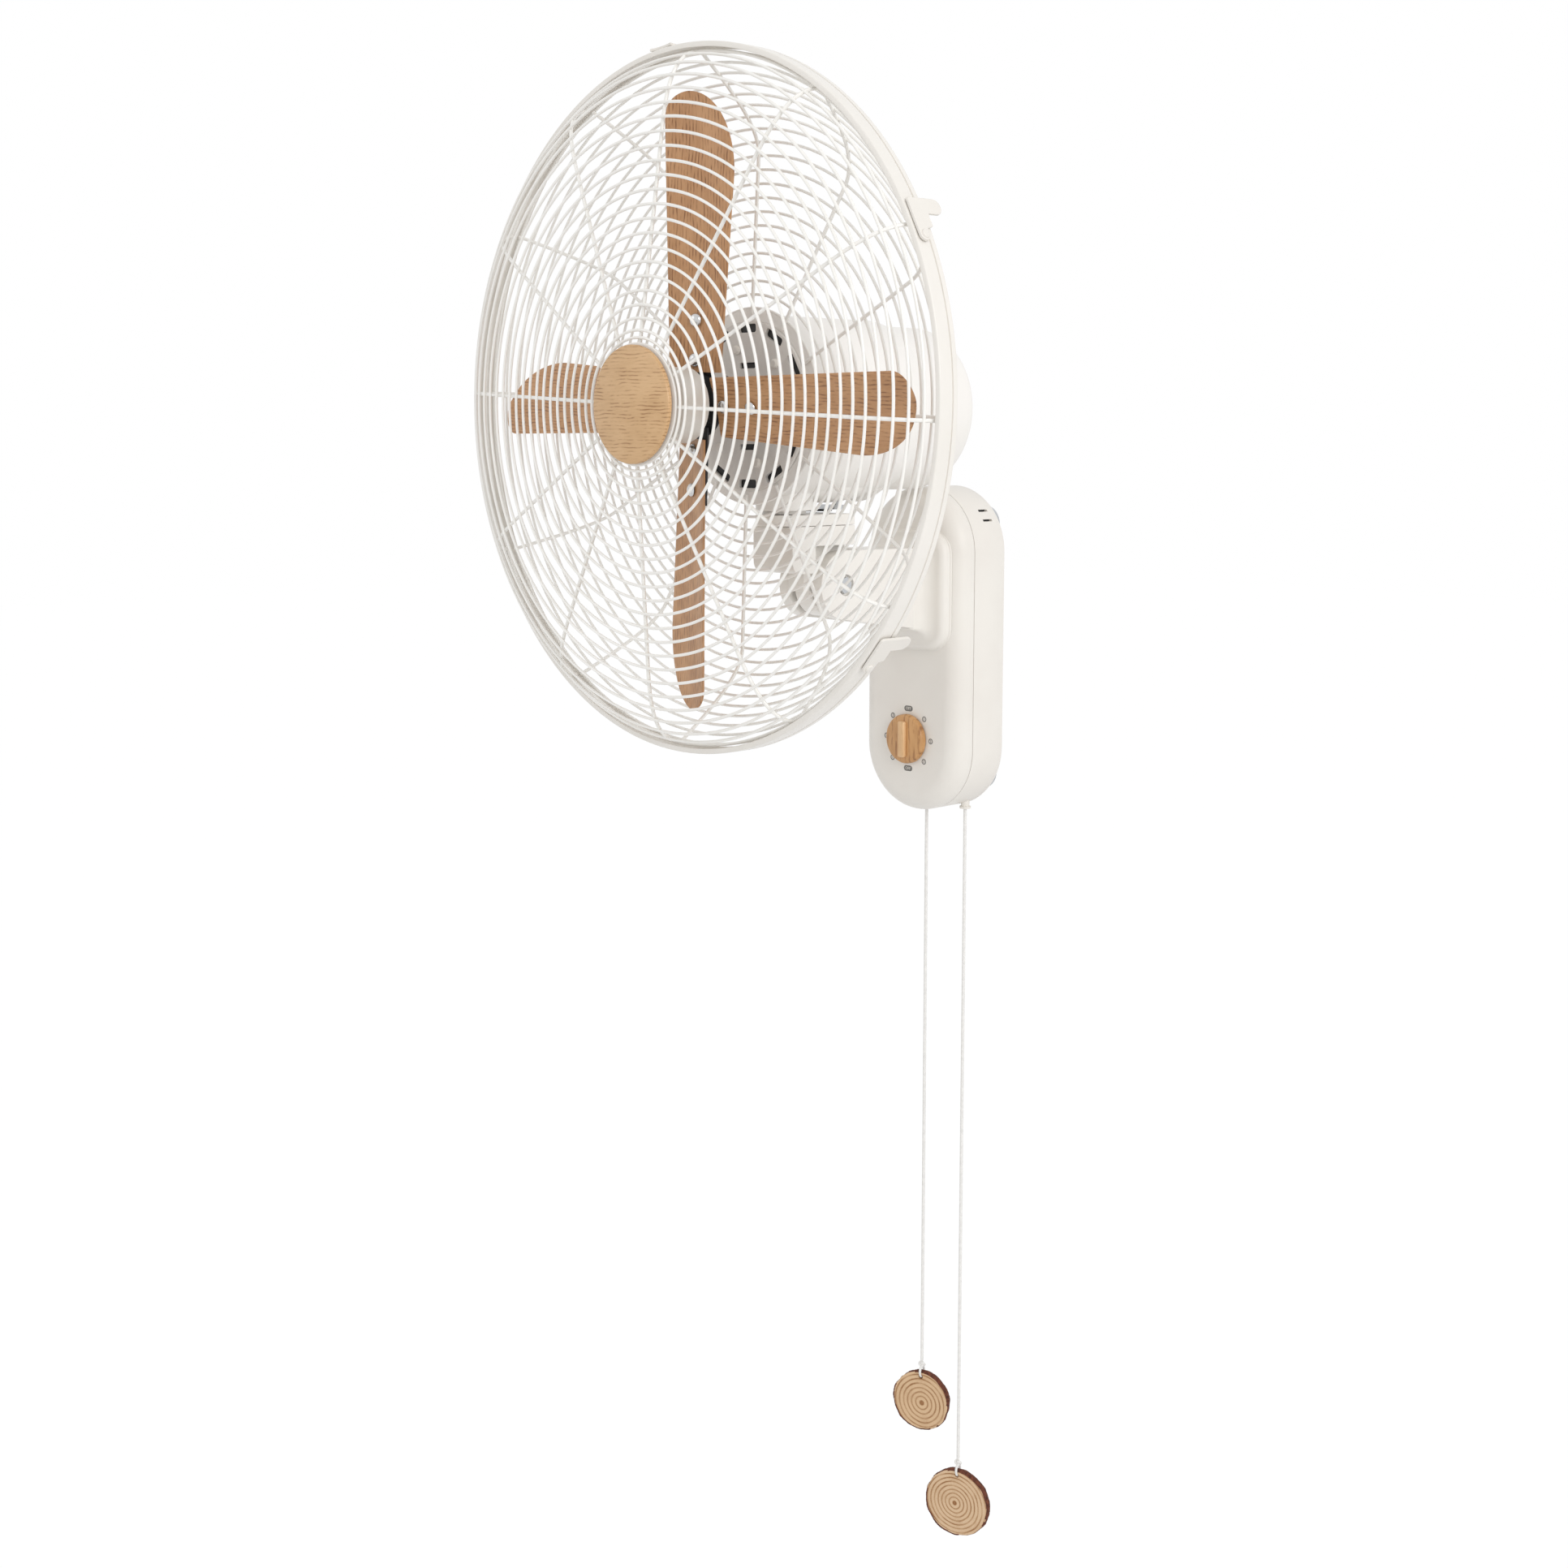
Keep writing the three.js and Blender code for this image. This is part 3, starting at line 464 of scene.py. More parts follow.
def sliceFinish(name, light, ringPeriod, pith):  # end grain: rings round the pith
    material, tree, shader = startMaterial(name, 0.75)
    where = objectPlace(tree, (1, 1, 1), (-pith[0], 0, -pith[1]))
    rings = wave(tree, where, ringPeriod, 1.1, wave_type="RINGS", rings_direction="Y")
    strength = spread(tree, noise(tree, where, 90, 2), 0.3, 0.65, 0.35, 1.0)
    thin = combine(tree, "MULTIPLY", spread(tree, rings, 0.5, 0.95), strength)
    grain = noise(tree, where, 1300, 3)
    slow = noise(tree, where, 70, 2)
    body = combine(tree, "ADD", combine(tree, "MULTIPLY", slow, 0.5), combine(tree, "MULTIPLY", grain, 0.35))
    ringed = combine(tree, "SUBTRACT", body, combine(tree, "MULTIPLY", thin, 0.4))
    flat = addNode(tree, "ShaderNodeVectorMath", {1: (1, 0, 1)}, operation="MULTIPLY")
    tree.links.new(where, flat.inputs[0])
    distance = addNode(tree, "ShaderNodeVectorMath", operation="LENGTH")
    tree.links.new(flat.outputs["Vector"], distance.inputs[0])
    heart = spread(tree, distance.outputs["Value"], 0.0007, 0.0017, 0.45, 0.0)
    value = combine(tree, "SUBTRACT", ringed, heart)
    colour = ramp(tree, value, [
        (0.0, tone(*ringTones["pith"])), (0.2, tone(*ringTones["line"])), (0.42, tone(*light))])
    tree.links.new(colour, shader.inputs["Base Color"])
    bump(tree, shader, value, 0.3, 0.0002)
    return material


finishes = {name: plainFinish(name, *look) for name, look in plainLooks.items()}
finishes.update({name: woodFinish(name, *look) for name, look in woodLooks.items()})
finishes.update({name: sliceFinish(name, *look) for name, look in sliceLooks.items()})
print("materials made")


# Cords: white braid hanging plumb from the eyelets, each to a knot on a wood slice
cordSetup = {
    "left": {"side": -1, "length": 458, "radius": 25, "seed": 5},
    "right": {"side": 1, "length": 526.5, "radius": 27.9, "seed": 9},
    "x": 19.8,
    "y": -12.5,
    "thick": 2.5,
    "points": 30,
    "tail": 17,  # the stretch inside the box, drawn out when the cord is pulled
    "boxHalfWidth": 49,
    "boxHalfHeight": 121.5,
    "knotDrop": 3.5,
    "knotStrand": 1.02,
    "loopStrand": 0.95,
    "sliceDrop": 8.1,
    "sliceThick": 4.6,
    "sliceTurn": 16,
    "sliceOval": 0.035,  # longer towards the upper right
    "sliceSteps": 140,
    "holeRadius": 1.9,
    "holeDepth": 5,
    "barkShare": 0.935,
}


def knotShape(strand):  # a tight overhand knot
    wide, deep, tall = 0.72, 0.95, 0.78
    line = [(wide * (math.sin(t) + 2 * math.sin(2 * t)), deep * math.sin(3 * t),
             tall * (math.cos(t) - 2 * math.cos(2 * t))) for t in span(0, 2 * math.pi, 72)[:-1]]
    return tubeAlong(line, strand, closed=True)


def loopShape(half, tall, strand):  # from the knot through the slice's hole and back
    line = [(0, half * math.cos(t), tall * math.sin(t)) for t in span(0, 2 * math.pi, 40)[:-1]]
    return tubeAlong(line, strand, closed=True)


def sliceShape(one, setup):  # uneven round the bark, flat on both faces
    radius, half, steps = one["radius"], setup["sliceThick"] / 2, setup["sliceSteps"]
    wander = random.Random(one["seed"])
    waves = [(n, wander.uniform(0.004, 0.018) / (1 + n * 0.12), wander.uniform(0, 6.28)) for n in (3, 5, 7, 11, 17)]

    def edge(a):
        oval = setup["sliceOval"] * math.cos(2 * a - math.pi / 2)
        return radius * 0.985 * (1 + oval + sum(h * math.sin(n * a + p) for n, h, p in waves))

    near = [(0.0, 0.1), (0.5, 0), (0.93, 0), (0.945, -0.02), (0.985, 0.25), (1.0, 0.9)]  # share of the radius, depth
    rows = [(share, -half + y) for share, y in near] + [(1.004, 0)] + [(share, half - y) for share, y in near[::-1]]
    points, rings = [], []
    for share, y in rows:
        if share == 0:
            rings.append([len(points)] * steps)
            points.append((0, y, 0))
            continue
        rings.append(list(range(len(points), len(points) + steps)))
        for a in span(0, 2 * math.pi, steps)[:-1]:
            r = edge(a) * share
            if share > 0.98:  # the bark is rough
                r += wander.uniform(-0.16, 0.16)
            points.append((r * math.cos(a), y, r * math.sin(a)))
    return points, ringFaces(rings)


def addCord(name, setup):
    one, body, thick, length = setup[name], f"{name}_pull", setup["thick"], setup[name]["length"]
    rise = setup["boxHalfWidth"] - math.sqrt(setup["boxHalfWidth"] ** 2 - setup["x"] ** 2)
    x, y, top = one["side"] * setup["x"], setup["y"], -setup["boxHalfHeight"] + rise
    last = setup["points"] - 1
    route = [(x * mm, y * mm, (top - length * i / last) * mm) for i in range(setup["points"])]
    curve = bpy.data.curves.new(f"pullCord_{name}", "CURVE")
    curve.dimensions = "3D"
    curve.bevel_depth = thick / 2 * mm
    curve.bevel_resolution = 3
    curve.use_fill_caps = True
    line = curve.splines.new("POLY")
    line.points.add(last)
    for point, place in zip(line.points, route):
        point.co = (*place, 1)
    curve.materials.append(finishes["braid"])
    cord = bpy.data.objects.new(f"pullCord_{name}", curve)
    scene.collection.objects.link(cord)
    settle(cord, body, [f"pull_cord_{name}"])

    def at(z):
        return Vector((x, y, z)) * mm

    tail = tubeAlong([(0, 0, z) for z in (0.2, setup["tail"] / 2, setup["tail"])], thick / 2 - 0.05)
    tail = piece(f"cordTail_{name}", tail, "braid", body, place=at(top))
    knotZ = top - length - setup["knotDrop"]
    knot = piece(f"cordKnot_{name}", knotShape(setup["knotStrand"]), "braid", body, [f"cord_knot_{name}"],
                 place=at(knotZ))
    centreZ = top - length - setup["sliceDrop"] - one["radius"]
    turning = Matrix.Rotation(math.radians(setup["sliceTurn"]), 4, "Z")
    disc = piece(f"woodSlice_{name}", sliceShape(one, setup), ["slice" + name.capitalize(), "bark"], None,
                 place=at(centreZ), turnMatrix=turning, sharp=50)
    wide, holeZ = setup["holeRadius"], one["radius"] - setup["holeDepth"]
    carve(disc, shifted(turn([(0, -9), (wide, -9), (wide, 9), (0, 9)], 24), 0, 0, holeZ))
    for face in disc.data.polygons:
        middle = face.center / mm
        face.material_index = int(math.hypot(middle.x, middle.z) > one["radius"] * setup["barkShare"])
    smooth(disc, 50)
    settle(disc, body, [f"wood_slice_{name}"])
    loopTop, loopLow = knotZ - 1, centreZ + holeZ - 0.2
    loop = loopShape(setup["sliceThick"] / 2 + 1.2, (loopTop - loopLow) / 2, setup["loopStrand"])
    loop = piece(f"cordLoop_{name}", loop, "braid", body, place=at((loopTop + loopLow) / 2), turnMatrix=turning)


addCord("left", cordSetup)
addCord("right", cordSetup)
print("cords hung")


# Guards
guardSetup = {
    "flatSteps": 30,
    "curveSteps": 40,
    "front": {  # (radius, y) points: the nearly flat stretch, then the curve down to the hoop
        "flat": [(40, -45), (178, -31)],
        "curve": [(178, -31), (208, -28), (224, -20), (226.4, -3.4)],
        "inner": [43, 47.8, 55.5, 64],
        "plate": [(31, -45.8), (40, -45.8), (40, -44.2), (31, -44.2)],
        "plateSoft": 0.6,
    },
    "rear": {
        "flat": [(60, 55.8), (166, 57)],
        "curve": [(166, 57), (185, 57), (205, 32), (226.4, 4)],
        "inner": [66],
        "plate": [(52, 55.1), (66, 55.1), (66, 56.3), (52, 56.3)],
        "plateSoft": 0.5,
    },
    "pitch": 9.27,
    "ringThick": 1.0,
    "spokeThick": 1.25,
    "spokeSink": 0.5,
    "spokes": 12,
    "turn": 3,
    "radius": 232,
    "hoopWidth": 13,
    "hoopThick": 1.2,
    "groove": (2.6, 3.9),
}


def bezier(a, b, c, d, steps):
    return [tuple((1 - t) ** 3 * a[n] + 3 * (1 - t) ** 2 * t * b[n] + 3 * (1 - t) * t * t * c[n] + t ** 3 * d[n]
                  for n in (0, 1)) for t in span(0, 1, steps)[1:]]


def guardLine(one, setup):
    (r0, y0), (r1, y1) = one["flat"]
    steps = setup["flatSteps"]
    return list(zip(span(r0, r1, steps), span(y0, y1, steps))) + bezier(*one["curve"], setup["curveSteps"])


def alongLine(line, distance):  # the point that far along a polyline
    for a, b in zip(line, line[1:]):
        step = math.dist(a, b)
        if distance <= step:
            t = distance / step
            return a[0] + (b[0] - a[0]) * t, a[1] + (b[1] - a[1]) * t
        distance -= step
    return line[-1]


def lineLength(line):
    return sum(math.dist(a, b) for a, b in zip(line, line[1:]))


def distanceAt(line, radius):
    total = 0
    for a, b in zip(line, line[1:]):
        if b[0] >= radius:
            return total + math.dist(a, b) * (radius - a[0]) / max(b[0] - a[0], 1e-6)
        total += math.dist(a, b)
    return total


def wireGuard(one, setup, back):  # rings at an even pitch along the line, and spokes behind them
    line = guardLine(one, setup)
    distances = [distanceAt(line, r) for r in one["inner"]]
    full = lineLength(line)
    count = round((full - distances[-1]) / setup["pitch"])
    distances += span(distances[-1], full, count)[1:]
    shapes = [ringWire(*alongLine(line, distance), setup["ringThick"]) for distance in distances]
    spoke = tubeAlong([(r, y + back, 0) for r, y in line], setup["spokeThick"], 8)
    for degrees in span(0, 360, setup["spokes"])[:-1]:
        shapes.append(moved(spoke, aboutY(degrees + setup["turn"])))
    plate = roundCorners(one["plate"], one["plateSoft"])
    return together(*shapes, turn(plate + plate[:1]))


def addGuards(setup):
    offset = setup["ringThick"] + setup["spokeThick"] - setup["spokeSink"]
    for side, back in (("front", offset), ("rear", -offset)):
        headPiece(f"{side}GuardWires", wireGuard(setup[side], setup, back), "wirePaint", [f"{side}_guard"])
    half, outer, (low, high) = setup["hoopWidth"] / 2, setup["radius"], setup["groove"]
    inner, lip = outer - setup["hoopThick"], outer - setup["hoopThick"] - 2.4
    groove = [(outer, low), (outer - 0.9, low + 0.2), (outer - 0.9, high - 0.2), (outer, high)]
    band = [(inner, -half), (lip, -half - 0.6), (lip, -half - 1.6), (outer, -half - 1.3), *groove,
            (outer, half + 1.3), (lip, half + 1.6), (lip, half + 0.6), (inner, half)]
    band = roundCorners(band, [0.3, 0.4, 0.4, 1.0, 0.15, 0, 0, 0.15, 1.0, 0.4, 0.4, 0.3], 3)
    headPiece("guardHoop", turn(band + band[:1], 200), "whitePaint", ["guard_hoop"])


addGuards(guardSetup)

# Hoop fittings, on the hoop at an angle from the horizontal, seen from the front
fittingSetup = {
    "levers": {"upper": 27, "lower": -41},
    "leverFoot": 232.6,
    "leverThick": 1.9,
    "rivet": (-2, -11),  # along the axis, round the hoop
    "rivetLobe": 4.2,
    "tab": (15.6, 8.4),
    "tabRadius": 5.2,
    "joint": 94.5,
    "jointFoot": 232.2,
    "jointTop": 234,
    "jointHalf": (7.6, 10.6),
    "jointHollow": (1.6, 1.9),
    "jointScrew": (-5.2, -8),
    "screws": [148.5, 200, 254],
    "screwFoot": 231.6,
}


def lobe(centre, radius, first, last):
    turns = [math.radians(degrees) for degrees in range(first, last + 1, 15)]
    return [(centre[0] + radius * math.cos(a), centre[1] + radius * math.sin(a)) for a in turns]


def leverShape(setup):  # a lobe round the rivet, the body and a rounded thumb tab
    low = setup["leverFoot"]
    outline = lobe(setup["rivet"], setup["rivetLobe"], 180, 360) + [(2.2, -7), (7.4, -5.5), (7.4, 3.2)]
    outline += lobe(setup["tab"], setup["tabRadius"], -90, 90) + [(-5, 13.6), (-6.4, 12.4), (-6.4, -4), (-6.2, -8)]
    rivet = turn([(0, 0), (2.9, 0), (2.9, 2.3), (2.3, 2.9), (0, 3)], 32)
    return together(prism(outline, low, low + setup["leverThick"]), alongX(rivet, low, *setup["rivet"]))


def jointOutline(setup):  # a bridge plate with hollowed ends
    (x, z), (deepX, deepZ) = setup["jointHalf"], setup["jointHollow"]
    side = [(-x + deepX * math.sin(math.pi * t), -z + 2 * z * t) for t in span(0, 1, 10)]
    top = [(-x + 2 * x * t, z - deepZ * math.sin(math.pi * t)) for t in span(0, 1, 8)[1:]]
    low = [(x - 2 * x * t, -z + deepZ * math.sin(math.pi * t)) for t in span(0, 1, 8)[:-1]]
    return side + top + low


def addFittings(setup):
    for name, angle in setup["levers"].items():
        headPiece(f"guardClip_{name}", leverShape(setup), "whitePlastic", [f"guard_clip_{name}"], aboutY(-angle),
                  f"{name}_clip", soften=0.5)
    plate = prism(jointOutline(setup), setup["jointFoot"], setup["jointTop"])
    headPiece("hoopJoint", plate, "whitePlastic", ["hoop_joint"], aboutY(-setup["joint"]), soften=0.4)
    dot = alongX(turn([(0, -0.2), (1.1, -0.2), (1.1, 0.15), (0, 0.2)], 20), setup["jointTop"], *setup["jointScrew"])
    headPiece("jointScrew", dot, "blackPlastic", (), aboutY(-setup["joint"]))
    head = alongX(turn([(0, 0), (2.6, 0), (2.6, 0.8), (1.6, 1.5), (0, 1.6)], 24), setup["screwFoot"])
    for i, angle in enumerate(setup["screws"]):
        headPiece(f"hoopScrew_{i + 1}", head, "steel", (), aboutY(-angle))


addFittings(fittingSetup)
print("guards wired")

# Badge and rotor
rotorSetup = {
    "badgeRadius": 38.4,
    "badgeFront": -51,
    "badgeThick": 3.6,
    "bladeY": 4,
    "pitch": 17,
    "turn": 2.5,
    "tip": 203,
    "root": 22,
    "lead": {"root": 19.5, "outer": 27.5, "from": 188},
    "trail": {"root": 21, "outer": 27, "from": 150},
    "tipAt": 9,
    "camber": 2.4,
    "rivets": [30, 56],
    "thick": 2.4,
    "crossSteps": 18,
    "spiderArm": (14, 66, 4.6, 6.4, -12, 12),
}


def addBadge(setup):
    r, y, t = setup["badgeRadius"], setup["badgeFront"], setup["badgeThick"]
    profile = [(0, y), (r - 1.6, y), (r - 0.4, y + 0.5), (r, y + 1.4), (r, y + t - 0.4), (r - 0.5, y + t), (0, y + t)]
    headPiece("woodBadge", turn(profile, 128), "badgeOak", ["wood_badge"], sharp=25)
    back = [(0, -47.1), (33.6, -47.1), (34, -46.7), (34, -46.1), (30, -46.1), (30, -43), (0, -43)]
    headPiece("badgePlate", turn(back), "whitePlastic", ["badge_plate"])


def bladeEdge(setup, name, side, r):  # nearly straight, then an elliptic curve round to the tip
    edge = setup[name]
    if r < edge["from"]:
        share = (r - setup["root"]) / (edge["from"] - setup["root"])
        return side * (edge["root"] + (edge["outer"] - edge["root"]) * share)
    t = min((r - edge["from"]) / (setup["tip"] - edge["from"]), 0.9995)
    return setup["tipAt"] + side * (edge["outer"] - side * setup["tipAt"]) * math.sqrt(1 - t * t)


def bladeShape(setup):  # along +X, not yet pitched
    root, tip = setup["root"], setup["tip"]
    trail, lead = setup["trail"]["from"], setup["lead"]["from"]
    stations = span(root, trail, 20)[:-1] + span(trail, lead, 12)[:-1]
    stations += [lead + (tip - lead) * math.sin(a) for a in span(0, math.pi / 2, 20)[:-1]] + [tip - 0.01]
    fullWidth = setup["lead"]["outer"] + setup["trail"]["outer"]
    points = []
    for r in stations:
        low, high = bladeEdge(setup, "trail", -1, r), bladeEdge(setup, "lead", 1, r)
        row = []
        for a in span(0, math.pi, setup["crossSteps"]):
            s = -math.cos(a) / 2
            bow = setup["camber"] * (1 - 4 * s * s) * (high - low) / fullWidth
            half = math.sqrt(max(1 - (2 * s) ** 8, 0)) * setup["thick"] / 2
            row.append((bow, low + (s + 0.5) * (high - low), half))
        points += [(r, y - half, z) for y, z, half in row]
        points += [(r, y + half, z) for y, z, half in row[-2:0:-1]]
    return stacked(points, 2 * setup["crossSteps"])


def addRotor(setup):
    pitched = Matrix.Rotation(math.radians(setup["pitch"]), 4, "X")
    dome = turn([(0, -3.0), (1.8, -2.8), (3.4, -2.1), (4.4, -1.0), (4.6, -0.4), (0, -0.4)], 32)
    pin = turn([(0, -1), (2, -1), (2, 7.4), (3.4, 7.4), (3.0, 8.2), (0, 8.4)], 20)
    spider = []
    for i in range(4):
        around = aboutY(90 * i + setup["turn"])
        placed = around @ Matrix.Translation((0, setup["bladeY"] * mm, 0)) @ pitched
        headPiece(f"blade_{i + 1}_wood", bladeShape(setup), "bladeOak", [f"blade_{i + 1}"], placed, "rotor", sharp=40)
        placedMm = around @ Matrix.Translation((0, setup["bladeY"], 0)) @ pitched
        spider.append(moved(softBox(*setup["spiderArm"], 0.6), placedMm))
        for k, r in enumerate(setup["rivets"]):
            headPiece(f"bladeRivet_{i + 1}_{k + 1}", shifted(dome, r), "chrome", (), placed, "rotor")
            spider.append(moved(shifted(pin, r), placedMm))
    spider.append(turn([(4.3, 9.6), (20.6, 9.6), (21, 10), (21, 11.2), (20.6, 11.6), (4.3, 11.6), (4.3, 9.6)], 64))
    headPiece("bladeSpider", together(*spider), "darkMetal", ["blade_bracket"], body="rotor")
    cap = [(0, -24), (20, -24), (23.4, -23.4), (24.7, -22.2), (25, -20.6), (25, -4.2), (21, -4.2), (21, -14), (6, -14),
           (6, -4.2), (4.3, -4.2), (4.3, -20.4), (0, -20.4)]
    headPiece("spinnerNut", turn(cap), "spinner", ["spinner"], body="rotor")


addBadge(rotorSetup)
addRotor(rotorSetup)
print("rotor made")

# Motor
motorSetup = {
    "front": 56.8,
    "split": 168,
    "end": 226.5,
    "radius": 62,
    "rearRadius": 58.5,
    "bossRadius": 20,
    "swingY": 87,
    "rearSoft": 15,
    "gearCase": {"y": 96, "long": 70, "half": 30, "round": 60.5, "deep": 6.2, "longSteps": 24, "acrossSteps": 20},
}


def addMotor(setup):
    front, split, end, r = setup["front"], setup["split"], setup["end"], setup["radius"]
    shell = [(59.8, front), (r - 1.2, front), (r - 0.35, front + 0.35), (r, front + 1.2), (r, split - 5.5),
             (r - 0.6, split - 3.2), (r - 2.2, split - 1.2), (r - 4.4, split), (56.8, split), (56.8, split - 2.2),
             (59.8, split - 5), (59.8, front)]
    b = setup["bossRadius"]
    boss = turn([(0, 50), (b, 50), (b, 70.8), (19.4, 71.4), (15, 71.4), (15, 73.7), (0, 73.7)], 64)
    shapes = [turn(shell, 128), downward(boss, 0, setup["swingY"], 0), gearCase(setup["gearCase"])]
    # Both motor shells take the lighter white: painted light against the guard's shadow
    headPiece("motorShell", together(*shapes), "motorWhite", ["motor_housing"], sharp=30)
    r, soft, y = setup["rearRadius"], setup["rearSoft"], split + 0.3
    dome = [(r - 2.2, y), (r - 0.3, y), (r, y + 0.4)]
    dome += [(r - soft + soft * math.cos(a), end - soft + soft * math.sin(a)) for a in span(0, math.pi / 2, 10)]
    dome += [(0, end), (0, end - 2.2), (r - soft, end - 2.2), (r - 2.2, end - soft), (r - 2.2, y)]
    headPiece("motorRearShell", turn(dome, 128), "motorWhite", ["motor_rear_cover"], sharp=30)
    plate = [(5, 52.4), (14, 52.4), (14, 51.3), (14.4, 51), (17.6, 51), (18, 51.3), (18, 52.4), (56.6, 52.4),
             (57.4, 52.8), (57.6, 53.4), (57.6, 54.6), (15.5, 54.6), (15.5, 64.5), (11.3, 64.5), (11.3, 53.6),
             (5, 53.6), (5, 52.4)]
    disc = headPiece("motorFace", turn(plate), "greyPlastic", body=None, sharp=30)
    outer, inner = softBox(49.6, 55.4, 50, 58, -8.6, 8.6, 1.5), softBox(25.5, 29.5, 50, 58, -8, 8, 1.2)
    slots = [moved(outer, aboutY(30 * i)) for i in range(12)] + [moved(inner, aboutY(60 * i + 30)) for i in range(6)]
    carve(disc, together(*slots))
    smooth(disc, 30)
    settle(disc, "head", ["motor_front_plate"])
    # A black disc behind the face plate's slots: painted shade for the dark inside of the motor
    shade = [(20, 54.75), (56.4, 54.75), (56.4, 55.2), (20, 55.2), (20, 54.75)]
    headPiece("motorSlotPaintedShade", turn(shade, 64), "blackPlastic")
    post = shifted(turn([(0, 49.9), (2.3, 50.0), (3.1, 50.7), (3.3, 52.3), (0, 52.3)], 24), 39.5)
    posts = [moved(post, Matrix.Rotation(math.pi / 3 * i + 0.26, 4, "Y")) for i in range(6)]
    headPiece("motorFacePosts", together(*posts), "whitePlastic")


def gearCase(case):  # under the motor, fading into it at both ends
    points, row = [], case["acrossSteps"] + 1
    for t in span(0, 1, case["longSteps"]):
        lift = math.sin(math.pi * min(t * 1.15 + 0.02, 1)) ** 0.5 if t < 0.87 else max(0.0, (1 - t) / 0.13) ** 0.5
        half = case["half"] * (0.55 + 0.45 * lift)
        for s in span(-1, 1, case["acrossSteps"]):
            low = -math.sqrt(case["round"] ** 2 - (half * s) ** 2)
            depth = case["deep"] * lift * (1 - s * s) ** 0.6
            points.append((half * s, case["y"] + case["long"] * t, low - depth))
    corners = [k * row + i for k in range(case["longSteps"]) for i in range(row - 1)]
    return points, [[n, n + 1, n + row + 1, n + row] for n in corners]


addMotor(motorSetup)
print("motor made")

# Neck
neckSetup = {
    "half": 20,
    "front": -194,
    "rear": -133,
    "top": 104,
    "pivot": (-143, 53.5),
    "tongue": 8,
    "lidY": 87,  # from the ring plane
    "foot": (-24.3, 91.7),
}


def addNeck(setup):
    half, front, rear, top = setup["half"], setup["front"], setup["rear"], setup["top"]
    side = [(front, 63), (-171.5, 63), (-171.5, 82), (rear, 82), (rear, top - 8.3), (front, top - 8.3)]
    block = prism(roundCorners(side, [9, 2, 0.5, 2, 1, 1], 6), -half, half)
    block = piece("neckBody", block, "whitePaint", None, soften=1.6)
    bake(block)
    smooth(block, 30)
    settle(block, "neck", ["neck_block"])
    (y, z), wide = setup["pivot"], setup["tongue"]
    barrel = turn([(0, -wide), (22, -wide), (23, 1 - wide), (23, wide - 1), (22, wide), (0, wide)], 64)
    tongue = together(alongX(barrel, 0, y, z), softBox(-wide, wide, -171.8, y + 12, z - 4, 84, 0.6))
    piece("neckTongue", tongue, "whitePaint", "neck", slot="white_plastic")
    ringPlane = headPlace.y / mm
    lid = [(-half, rear), (half, rear)]
    lid += [(half * math.cos(a), ringPlane + setup["lidY"] + half * math.sin(a)) for a in span(0, -math.pi, 32)]
    x, y = setup["foot"][0], ringPlane + setup["foot"][1]
    cap = together(
        prism(lid, top - 8, top - 0.2, "Z"),
        softBox(x, -15, y - 4.5, y + 4.5, top - 5, top, 0.5),
        downward(turn([(0, 0), (4.5, 0), (4.5, 5), (0, 5)], 32), x, y, top),
        downward(turn([(0, -2.2), (1.8, -2.0), (1.8, 1), (0, 1)], 24), x, y, top),
    )
    piece("neckLid", cap, "whitePaint", "neck", ["neck_cap"], soften=0.7, slot="white_plastic")


addNeck(neckSetup)

# Arm
armSetup = {
    "half": 21.5,
    "pivot": (-143, 53.5),
    "ear": 24.5,
    "top": 77,
    "low": 17,
    "slot": 12.3,
    "flare": 11,
    "padFront": -62,
}


def addArm(setup):
    (y, z), ear, half, wide = setup["pivot"], setup["ear"], setup["half"], setup["slot"]
    side = [(y - ear * math.sin(a), z + ear * math.cos(a)) for a in span(0, math.pi, 32)]
    side += [(-61, setup["low"]), (-44, setup["low"]), (-44, setup["top"]), (-61, setup["top"])]
    arm = piece("supportArm", prism(side, -half, half), "whitePaint", None)
    hole = turn([(0, -40), (4.3, -40), (4.3, 40), (0, 40)], 32)
    well = turn([(0, half - 3), (7.6, half - 3), (7.6, half + 3), (0, half + 3)], 40)
    carve(arm, softBox(-wide, wide, y - 40, y + ear + 2.5, z - 60, z + 60, 2))
    carve(arm, alongX(hole, 0, y, z), alongX(well, 0, y, z))
    softEdges(arm, 1.6, 40)
    bake(arm)
    smooth(arm, 32)
    settle(arm, "wall_box", ["support_arm"])
    hexHead = [(6.2 * math.cos(math.pi / 3 * i + 0.3), 6.2 * math.sin(math.pi / 3 * i + 0.3)) for i in range(6)]
    hexHead = prism(roundCorners(hexHead, 0.6, 3), half - 2.6, half - 0.3)
    shank = turn([(0, -half - 4), (4, -half - 4), (4, half - 2.6), (0, half - 2.6)], 32)
    bolt = together(shifted(hexHead, 0, y, z), alongX(shank, 0, y, z))
    piece("tiltBolt", bolt, "steel", "wall_box", ["tilt_bolt"], soften=0.3)
    flare, pad = setup["flare"], setup["padFront"]
    tall, middle = setup["top"] - setup["low"], (setup["top"] + setup["low"]) / 2

    def root(inset):  # the arm's section, grown outward where it meets the pad
        return roundedOutline(2 * half - 2 * inset, tall - 2 * inset, 2 - inset, 10)

    curve = [(1.5, pad - flare - 3), (0.2, pad - flare - 0.5)]
    curve += [(-flare * (1 - math.cos(a)), pad - flare * (1 - math.sin(a))) for a in span(0, math.pi / 2, 12)]
    curve.append((-flare, pad + 4))
    piece("armFlare", shifted(layered(root, curve), 0, 0, middle), "whitePlastic", "wall_box", sharp=50)


addArm(armSetup)
print("neck and arm made")

